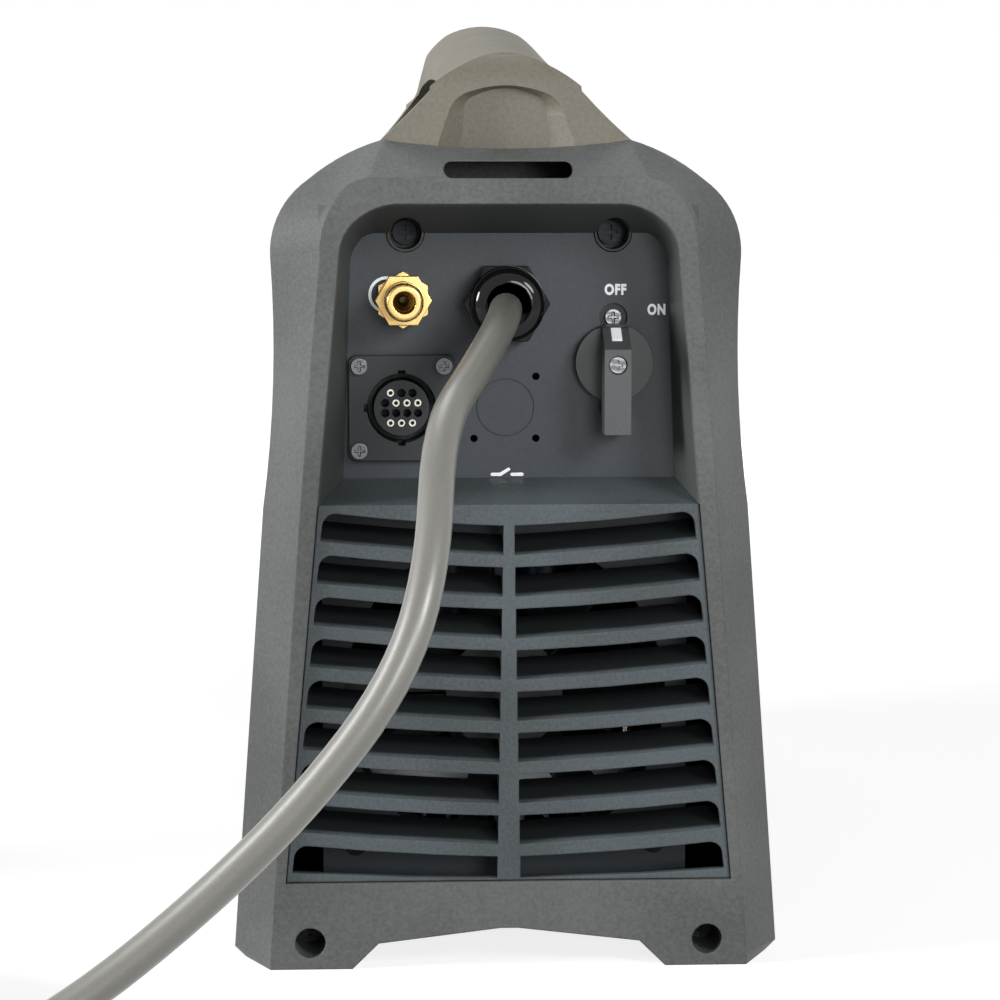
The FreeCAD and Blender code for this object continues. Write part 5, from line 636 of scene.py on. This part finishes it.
class CUTTER_OT_studio(Operator):
    """Camera, lamps, white surroundings and a pale floor that keeps the unit's shadow"""
    bl_idname = "cutter.studio"
    bl_label = "Studio"

    # Name, place and size in metres, and the setting that holds the power.
    LAMPS = (
        ("Side lamp", (-1.8, -0.6, 0.7), 0.6, "side_power"),
        ("Key lamp", (0.95, -1.5, 0.9), 0.6, "key_power"),
        ("Low lamp", (0.35, -2.0, 0.45), 0.5, "low_power"),
        ("Top lamp", (-0.3, 0.9, 1.9), 1.0, "top_power"),
        ("Far lamp", (0.6, 1.9, 0.3), 0.6, "far_power"),
    )
    LAMP_AIM = Vector((0, 0, 0.15))
    FLOOR = ((-6, -6), (6, -6), (6, 8), (-6, 8))

    def execute(self, context):
        settings = context.scene.cutter_studio
        context.scene.view_settings.view_transform = "Standard"
        self.camera(context, settings)
        for name, place, size, power in self.LAMPS:
            self.lamp(context, name, Vector(place), size, getattr(settings, power))
        self.surroundings(context, settings)
        self.floor(context, settings)
        return {"FINISHED"}

    def camera(self, context, settings):
        lens = bpy.data.cameras.new("Camera")
        lens.lens = settings.focal_length
        lens.sensor_width = settings.sensor_width
        camera = bpy.data.objects.new("Camera", lens)
        context.scene.collection.objects.link(camera)
        camera.location = settings.camera_place
        sight = Vector(settings.camera_aim) - Vector(settings.camera_place)
        camera.rotation_euler = sight.to_track_quat("-Z", "Y").to_euler()
        context.scene.camera = camera

    def lamp(self, context, name, place, size, power):
        light = bpy.data.lights.new(name, "AREA")
        light.shape = "DISK"
        light.size = size
        light.energy = power
        lamp = bpy.data.objects.new(name, light)
        context.scene.collection.objects.link(lamp)
        lamp.location = place
        lamp.rotation_euler = (self.LAMP_AIM - place).to_track_quat("-Z", "Y").to_euler()

    def seen(self, tree):
        """One for rays that show the background: from the camera, off gloss and through glass."""
        ray = add(tree, "ShaderNodeLightPath").outputs
        direct = maths(tree, "MAXIMUM", ray["Is Camera Ray"], ray["Is Glossy Ray"])
        return maths(tree, "MAXIMUM", direct, ray["Is Transmission Ray"])

    def surroundings(self, context, settings):
        world = bpy.data.worlds.new("White surroundings")
        world.use_nodes = True
        context.scene.world = world
        tree = world.node_tree
        sky = tree.nodes["Background"]
        sky.inputs["Color"].default_value = (1, 1, 1, 1)
        tree.links.new(ranged(tree, self.seen(tree), 0, 1, settings.sky, 1), sky.inputs["Strength"])

    def floor(self, context, settings):
        form = bmesh.new()
        form.faces.new([form.verts.new((x, y, 0)) for x, y in self.FLOOR])
        floor = bpy.data.objects.new("Floor", from_bmesh("Floor", form))
        context.scene.collection.objects.link(floor)
        floor.data.materials.append(self.board(settings))

    def board(self, settings):
        """Smooth white board: even, with only the shadow to be seen on it, and all white far away."""
        material, tree, surface, place = start("Painted board, pale", Roughness=0.9, Specular_IOR_Level=0.0,
                                               Emission_Color=(1, 1, 1, 1))
        base = mixed(tree, noise(tree, place, 400), settings.floor, darker(settings.floor, 0.01))
        tree.links.new(base, surface.inputs["Base Color"])
        away = add(tree, "ShaderNodeVectorMath", {0: place}, operation="LENGTH").outputs["Value"]
        wash = ranged(tree, away, settings.glow_to, settings.white_from, settings.floor_glow, 1,
                      interpolation_type="SMOOTHSTEP")
        tree.links.new(maths(tree, "MULTIPLY", self.seen(tree), wash), surface.inputs["Emission Strength"])
        return material


# The coil: its middle in metres, its turns counted from the outside of the lower layer to the outside of the
# upper one, the turn where it is tightest, and the turns between which it climbs.
COIL = Vector((-0.25, -0.295))
TURNS = 6.25
TIGHTEST = 3.25
CLIMB = (3.0, 3.5)


def radius_at(settings, turn):
    """The radius of the coil's centreline at a turn."""
    return settings.coil_radius + settings.coil_pitch * abs(turn - TIGHTEST)


def angle_at(turn):
    """The coil's angle at a turn."""
    return -math.pi / 2 - 2 * math.pi * turn


class CUTTER_OT_mains_lead(Operator):
    """The mains lead: out of the gland, down over the grille, back to its coil and on to the plug"""
    bl_idname = "cutter.mains_lead"
    bl_label = "Mains lead"

    # Control points in millimetres, before the coil and after it.
    RUN = ((0, -184, 228), (0, -222, 228), (-13, -262, 210), (-27, -308, 195), (-29.8, -345, 155),
           (-41, -356, 122), (-69, -358, 86), (-103, -357, 53), (-139, -360, 25), (-177, -368, 6),
           (-208.8, -378.35, 7.2), (-238.8, -378.35, 7.2))
    TAIL = ((-330.4, -260, 19), (-330.4, -233, 11.5), (-330.4, -203.3, 15.7))

    def execute(self, context):
        settings = context.scene.cutter_lead
        run, tail = ([Vector(point) * MM for point in part] for part in (self.RUN, self.TAIL))
        route = run + self.turns(settings) + tail
        curve = bpy.data.curves.new("mains_lead", "CURVE")
        curve.dimensions = "3D"
        curve.bevel_depth = settings.diameter / 2
        curve.bevel_resolution = 7
        curve.use_fill_caps = True
        spline = curve.splines.new("NURBS")
        spline.points.add(len(route) - 1)
        for point, place in zip(spline.points, route):
            point.co = (*place, 1)
        spline.order_u = 3
        spline.use_endpoint_u = True
        spline.resolution_u = 6
        lead = show("mains_lead", curve, "cable_rubber")
        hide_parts("mains_cable", "mains_coil")
        return {"FINISHED"}

    def turns(self, settings):
        """The coil's points, from its outer turn in the lower layer to its outer turn in the upper one."""
        points = []
        for step in range(1, int(TURNS * settings.turn_points) + 1):
            turn = step / settings.turn_points
            radius, angle = radius_at(settings, turn), angle_at(turn)
            climbed = min(max((turn - CLIMB[0]) / (CLIMB[1] - CLIMB[0]), 0), 1)
            rise = (1 - math.cos(math.pi * climbed)) / 2
            points.append(Vector((COIL.x + radius * math.cos(angle), COIL.y + radius * math.sin(angle),
                                  settings.coil_level + settings.coil_pitch * rise)))
        return points


class CUTTER_OT_coil_straps(Operator):
    """Three woven straps that hold the coil together"""
    bl_idname = "cutter.coil_straps"
    bl_label = "Coil straps"

    # The shares of a turn where the straps lie, and the room in a strap beyond the turns: at its inner end,
    # over its whole width and over its height, in millimetres.
    PLACES = (0.1, 0.42, 0.75)
    INNER_ROOM, WIDE_ROOM, HIGH_ROOM = 0.9, 1.35, 0.3
    # A strap's end laps over its flat top: above a share of its height, and up to a share of its width.
    FLAT_TOP, LAP_END = 0.98, 0.8

    def execute(self, context):
        settings = context.scene.cutter_lead
        straps = bmesh.new()
        straps.loops.layers.uv.new("along")
        for share in self.PLACES:
            self.strap(straps, share, settings)
        piece = show("coil_straps", from_bmesh("coil_straps", straps), "tie_strap")
        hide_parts("coil_ties")
        return {"FINISHED"}

    def strap(self, straps, share, settings):
        """One band round all the turns at a share of a turn, with its end lapped on top."""
        radii = [radius_at(settings, share + whole) for whole in range(int(TURNS - share) + 1)]
        low = min(radii) - settings.diameter / 2 - self.INNER_ROOM * MM
        wide = max(radii) - min(radii) + settings.diameter + self.WIDE_ROOM * MM
        high = settings.coil_pitch + settings.diameter + self.HIGH_ROOM * MM
        thick = settings.strap_thickness
        loop = self.rounded(low, thick, wide, high, settings.diameter / 2)
        lap = [(place, outward) for place, outward in loop
               if place[1] > high * self.FLAT_TOP + thick and place[0] < low + wide * self.LAP_END]
        on_coil = Matrix.Translation((*COIL, 0)) @ Matrix.Rotation(angle_at(share), 4, "Z")
        for path, lift, closed in ((loop, 0.0, True), (lap, thick, False)):
            rings = []
            for place, outward in path:
                point = Vector((place[0], 0, place[1]))
                away = Vector((outward[0], 0, outward[1]))
                ring = band_ring(point + away * lift, away, Vector((0, 1, 0)), settings.strap_width, thick)
                rings.append([on_coil @ Vector(corner) for corner in ring])
            band = tube_of(rings, closed)
            mesh = bpy.data.meshes.new("band")
            band.to_mesh(mesh)
            band.free()
            straps.from_mesh(mesh)
            bpy.data.meshes.remove(mesh)

    def rounded(self, low, bottom, wide, high, corner, steps=8, straight=10):
        """Points of a rounded rectangle in X and Z and the way out at each, without sharp corners."""
        loop = []
        left, right, under, over = low + corner, low + wide - corner, bottom + corner, bottom + high - corner
        corners = ((right, over, 0), (left, over, 1), (left, under, 2), (right, under, 3))
        for index, (x, z, quarter) in enumerate(corners):
            for step in range(steps + 1):
                angle = math.pi / 2 * (quarter + step / steps)
                away = (math.cos(angle), math.sin(angle))
                loop.append(((x + corner * away[0], z + corner * away[1]), away))
            if quarter in (0, 2):
                end = corners[(index + 1) % 4]
                for step in range(1, straight):
                    part = step / straight
                    loop.append(((x + (end[0] - x) * part + corner * away[0], z + corner * away[1]), away))
        return loop


class CUTTER_OT_finishes(Operator):
    """The finish of every part that the frame carries"""
    bl_idname = "cutter.finishes"
    bl_label = "Finishes"

    def execute(self, context):
        for part in frame["record"]["subparts"]:
            node = frame["nodes"][part["node"]]
            if node.hide_render:
                continue
            made = finish_of(part["material_slot"])
            if not node.data.materials:
                node.data.materials.append(made)
            for index in range(len(node.data.materials)):
                node.data.materials[index] = made
        return {"FINISHED"}


class CUTTER_OT_edges(Operator):
    """Soft edges, as the moulds, presses and lathes leave them"""
    bl_idname = "cutter.edges"
    bl_label = "Soft edges"

    # Edge radius in millimetres, and the parts that have it.
    EDGES = (
        (1.1, ("rear_bezel", "front_bezel", "handle_shell")),
        (0.8, ("plug_body", "plug_shroud", "plug_cable_nut", "handle_underside", "cover", "base_pan")),
        (0.6, ("rear_grille", "front_grille", "current_knob", "torch_socket_body", "work_socket_body")),
        (0.45, ("cnc_socket_shell", "gland_dome_nut", "gland_body", "gland_clamp_ring", "mode_button",
                "test_button")),
        (0.3, ("switch_knob", "air_inlet_fitting", "bezel_screws", "cover_screws", "switch_marker",
               "cnc_socket_insert")),
        (0.2, ("cnc_screws", "switch_screws", "switch_knob_screw", "rear_panel", "front_panel",
               "display_window")),
    )
    # Parts that keep the whole radius where edges lie close together.
    CLOSE = ("gland_dome_nut", "cnc_socket_shell")
    # Corners nearer than this many millimetres are one; below the first angle in degrees faces are one flat,
    # and above the second an edge is rounded.
    WELD, FLAT, SHARP = 0.001, 1, 26

    def execute(self, context):
        for radius, names in self.EDGES:
            for name in names:
                self.soften(frame["nodes"][name], radius * MM)
        return {"FINISHED"}

    def soften(self, node, radius):
        weld = node.modifiers.new("Joined corners", "WELD")
        weld.merge_threshold = self.WELD * MM
        flats = node.modifiers.new("Whole flats", "DECIMATE")
        flats.decimate_type = "DISSOLVE"
        flats.angle_limit = math.radians(self.FLAT)
        edge = node.modifiers.new("Edge radius", "BEVEL")
        edge.limit_method = "ANGLE"
        edge.angle_limit = math.radians(self.SHARP)
        edge.width = radius
        edge.segments = 3
        edge.use_clamp_overlap = node.name not in self.CLOSE
        edge.harden_normals = True
        even = node.modifiers.new("Even shading", "WEIGHTED_NORMAL")
        even.keep_sharp = True


class CUTTER_OT_rear_prints(Operator):
    """White marks of the rear panel: OFF and ON, the open ring beside the air inlet and a contact sign"""
    bl_idname = "cutter.rear_prints"
    bl_label = "Rear prints"

    # Millimetres, X and Z. A word has its low and high corners.
    WORDS = (("print_off", "OFF", (34.72, 230.41), (42.29, 234.35)),
             ("print_on", "ON", (49.66, 223.44), (55.94, 227.39)))
    RING_CENTRE = (-41.0, 230.7)
    RING_RADIUS = 6.35
    RING_LINE = 1.0
    RING_ENDS = (math.radians(66), math.radians(268))
    RING_STEPS = 48
    CONTACT = (((-4.4, 168.0), (-1.6, 168.0), (1.3, 169.8)), ((2.5, 168.0), (6.0, 168.0)))
    CONTACT_LINE = 1.15

    def execute(self, context):
        for name, words, low, high in self.WORDS:
            show(name, lettering(name, words, scaled(low), scaled(high), REAR_FACE, -1), "marker_white")
        centre, (first, last) = scaled(self.RING_CENTRE), self.RING_ENDS
        ring = arc_points(centre, self.RING_RADIUS * MM, first, last, self.RING_STEPS)
        ring += arc_points(centre, (self.RING_RADIUS - self.RING_LINE) * MM, last, first, self.RING_STEPS)
        show("print_inlet_ring", printed("print_inlet_ring", [ring], REAR_FACE, -1), "marker_white")
        lines = [bent([scaled(point) for point in points], self.CONTACT_LINE * MM) for points in self.CONTACT]
        show("print_contact_sign", printed("print_contact_sign", lines, REAR_FACE, -1), "marker_white")
        return {"FINISHED"}


class CUTTER_OT_front_prints(Operator):
    """White marks of the front panel: the current knob's scale, and lines round the display and buttons"""
    bl_idname = "cutter.front_prints"
    bl_label = "Front prints"

    # Millimetres, X and Z; the scale runs from 20 to 60 amperes over 270 degrees. The display's size is
    # its width, its height and the radius of its corners.
    DIAL = (36.0, 205.0)
    SWEEP = math.radians(270)
    TICKS = 21
    LONG_EVERY = 5
    TICK_FROM, TICK_TO, LONG_TICK_TO = 13.8, 15.0, 15.9
    NUMBERS = ("20", "30", "40", "50", "60")
    NUMBER_RADIUS = 18.3
    NUMBER_HALF = (1.7, 1.15)
    DISPLAY = (-16.0, 228.0)
    DISPLAY_SIZE = (62.0, 30.0, 3.0)
    BUTTONS = ((-36.0, 191.0), (-16.0, 191.0))
    BUTTON_RING = 6.2
    LENSES = ((-36.0, 176.0), (-22.0, 176.0), (-8.0, 176.0), (6.0, 176.0))
    DASH_HALF, DASH_ABOVE = 1.6, 4.2
    LINE = 0.45

    def execute(self, context):
        line = self.LINE * MM
        show("print_dial", printed("print_dial", self.ticks(line), FRONT_FACE, 1), "marker_white")
        for index, number in enumerate(self.NUMBERS):
            x, z = self.on_dial(index / (len(self.NUMBERS) - 1), self.NUMBER_RADIUS)
            half, tall = self.NUMBER_HALF
            name = "print_number_" + number
            low, high = scaled((x - half, z - tall)), scaled((x + half, z + tall))
            show(name, lettering(name, number, low, high, FRONT_FACE, 1), "marker_white")
        centre, (wide, high, corner) = scaled(self.DISPLAY), scaled(self.DISPLAY_SIZE)
        display = (rounded_frame(centre, wide, high, corner),
                   rounded_frame(centre, wide - 2 * line, high - 2 * line, corner - line))
        outer = self.BUTTON_RING * MM
        rings = [(circle(spot, outer), circle(spot, outer - line)) for spot in map(scaled, self.BUTTONS)]
        dashes = []
        for x, z in self.LENSES:
            ends = ((x - self.DASH_HALF, z + self.DASH_ABOVE), (x + self.DASH_HALF, z + self.DASH_ABOVE))
            dashes.append(bent([scaled(end) for end in ends], line))
        marks = [display] + rings + dashes
        show("print_marks", printed("print_marks", marks, FRONT_FACE, 1), "marker_white")
        return {"FINISHED"}

    def on_dial(self, share, radius):
        """A place on the scale, from its low end at 0 to its high end at 1, seen from the front."""
        angle = self.SWEEP * (share - 0.5)
        return self.DIAL[0] - radius * math.sin(angle), self.DIAL[1] + radius * math.cos(angle)

    def ticks(self, line):
        """Short lines, with a longer one at every number."""
        lines = []
        for index in range(self.TICKS):
            share = index / (self.TICKS - 1)
            reach = self.TICK_TO if index % self.LONG_EVERY else self.LONG_TICK_TO
            ends = (self.on_dial(share, self.TICK_FROM), self.on_dial(share, reach))
            lines.append(bent([scaled(end) for end in ends], line))
        return lines


class CUTTER_PT_sidebar(Panel):
    """Every step of making the unit"""
    bl_idname = "CUTTER_PT_sidebar"
    bl_label = "Plasma cutter"
    bl_space_type = "VIEW_3D"
    bl_region_type = "UI"
    bl_category = "Plasma cutter"

    def draw(self, context):
        for settings in (context.scene.cutter_studio, context.scene.cutter_lead, context.scene.cutter_finish):
            box = self.layout.box()
            for key in settings.bl_rna.properties.keys():
                if key not in {"rna_type", "name"}:
                    box.prop(settings, key)
        for operator in OPERATORS:
            self.layout.operator(operator.bl_idname)


SETTINGS = {"cutter_studio": StudioSettings, "cutter_lead": LeadSettings, "cutter_finish": FinishSettings}
OPERATORS = (CUTTER_OT_studio, CUTTER_OT_mains_lead, CUTTER_OT_coil_straps, CUTTER_OT_finishes,
             CUTTER_OT_edges, CUTTER_OT_rear_prints, CUTTER_OT_front_prints)


def register():
    for settings in SETTINGS.values():
        bpy.utils.register_class(settings)
    for name, settings in SETTINGS.items():
        setattr(bpy.types.Scene, name, PointerProperty(type=settings))
    for made in OPERATORS + (CUTTER_PT_sidebar,):
        bpy.utils.register_class(made)


def unregister():
    for made in (CUTTER_PT_sidebar,) + OPERATORS[::-1]:
        bpy.utils.unregister_class(made)
    for name, settings in SETTINGS.items():
        delattr(bpy.types.Scene, name)
        bpy.utils.unregister_class(settings)


def main():
    register()
    for operator in OPERATORS:
        group, name = operator.bl_idname.split(".")
        getattr(getattr(bpy.ops, group), name)()


if __name__ == "__main__":
    main()
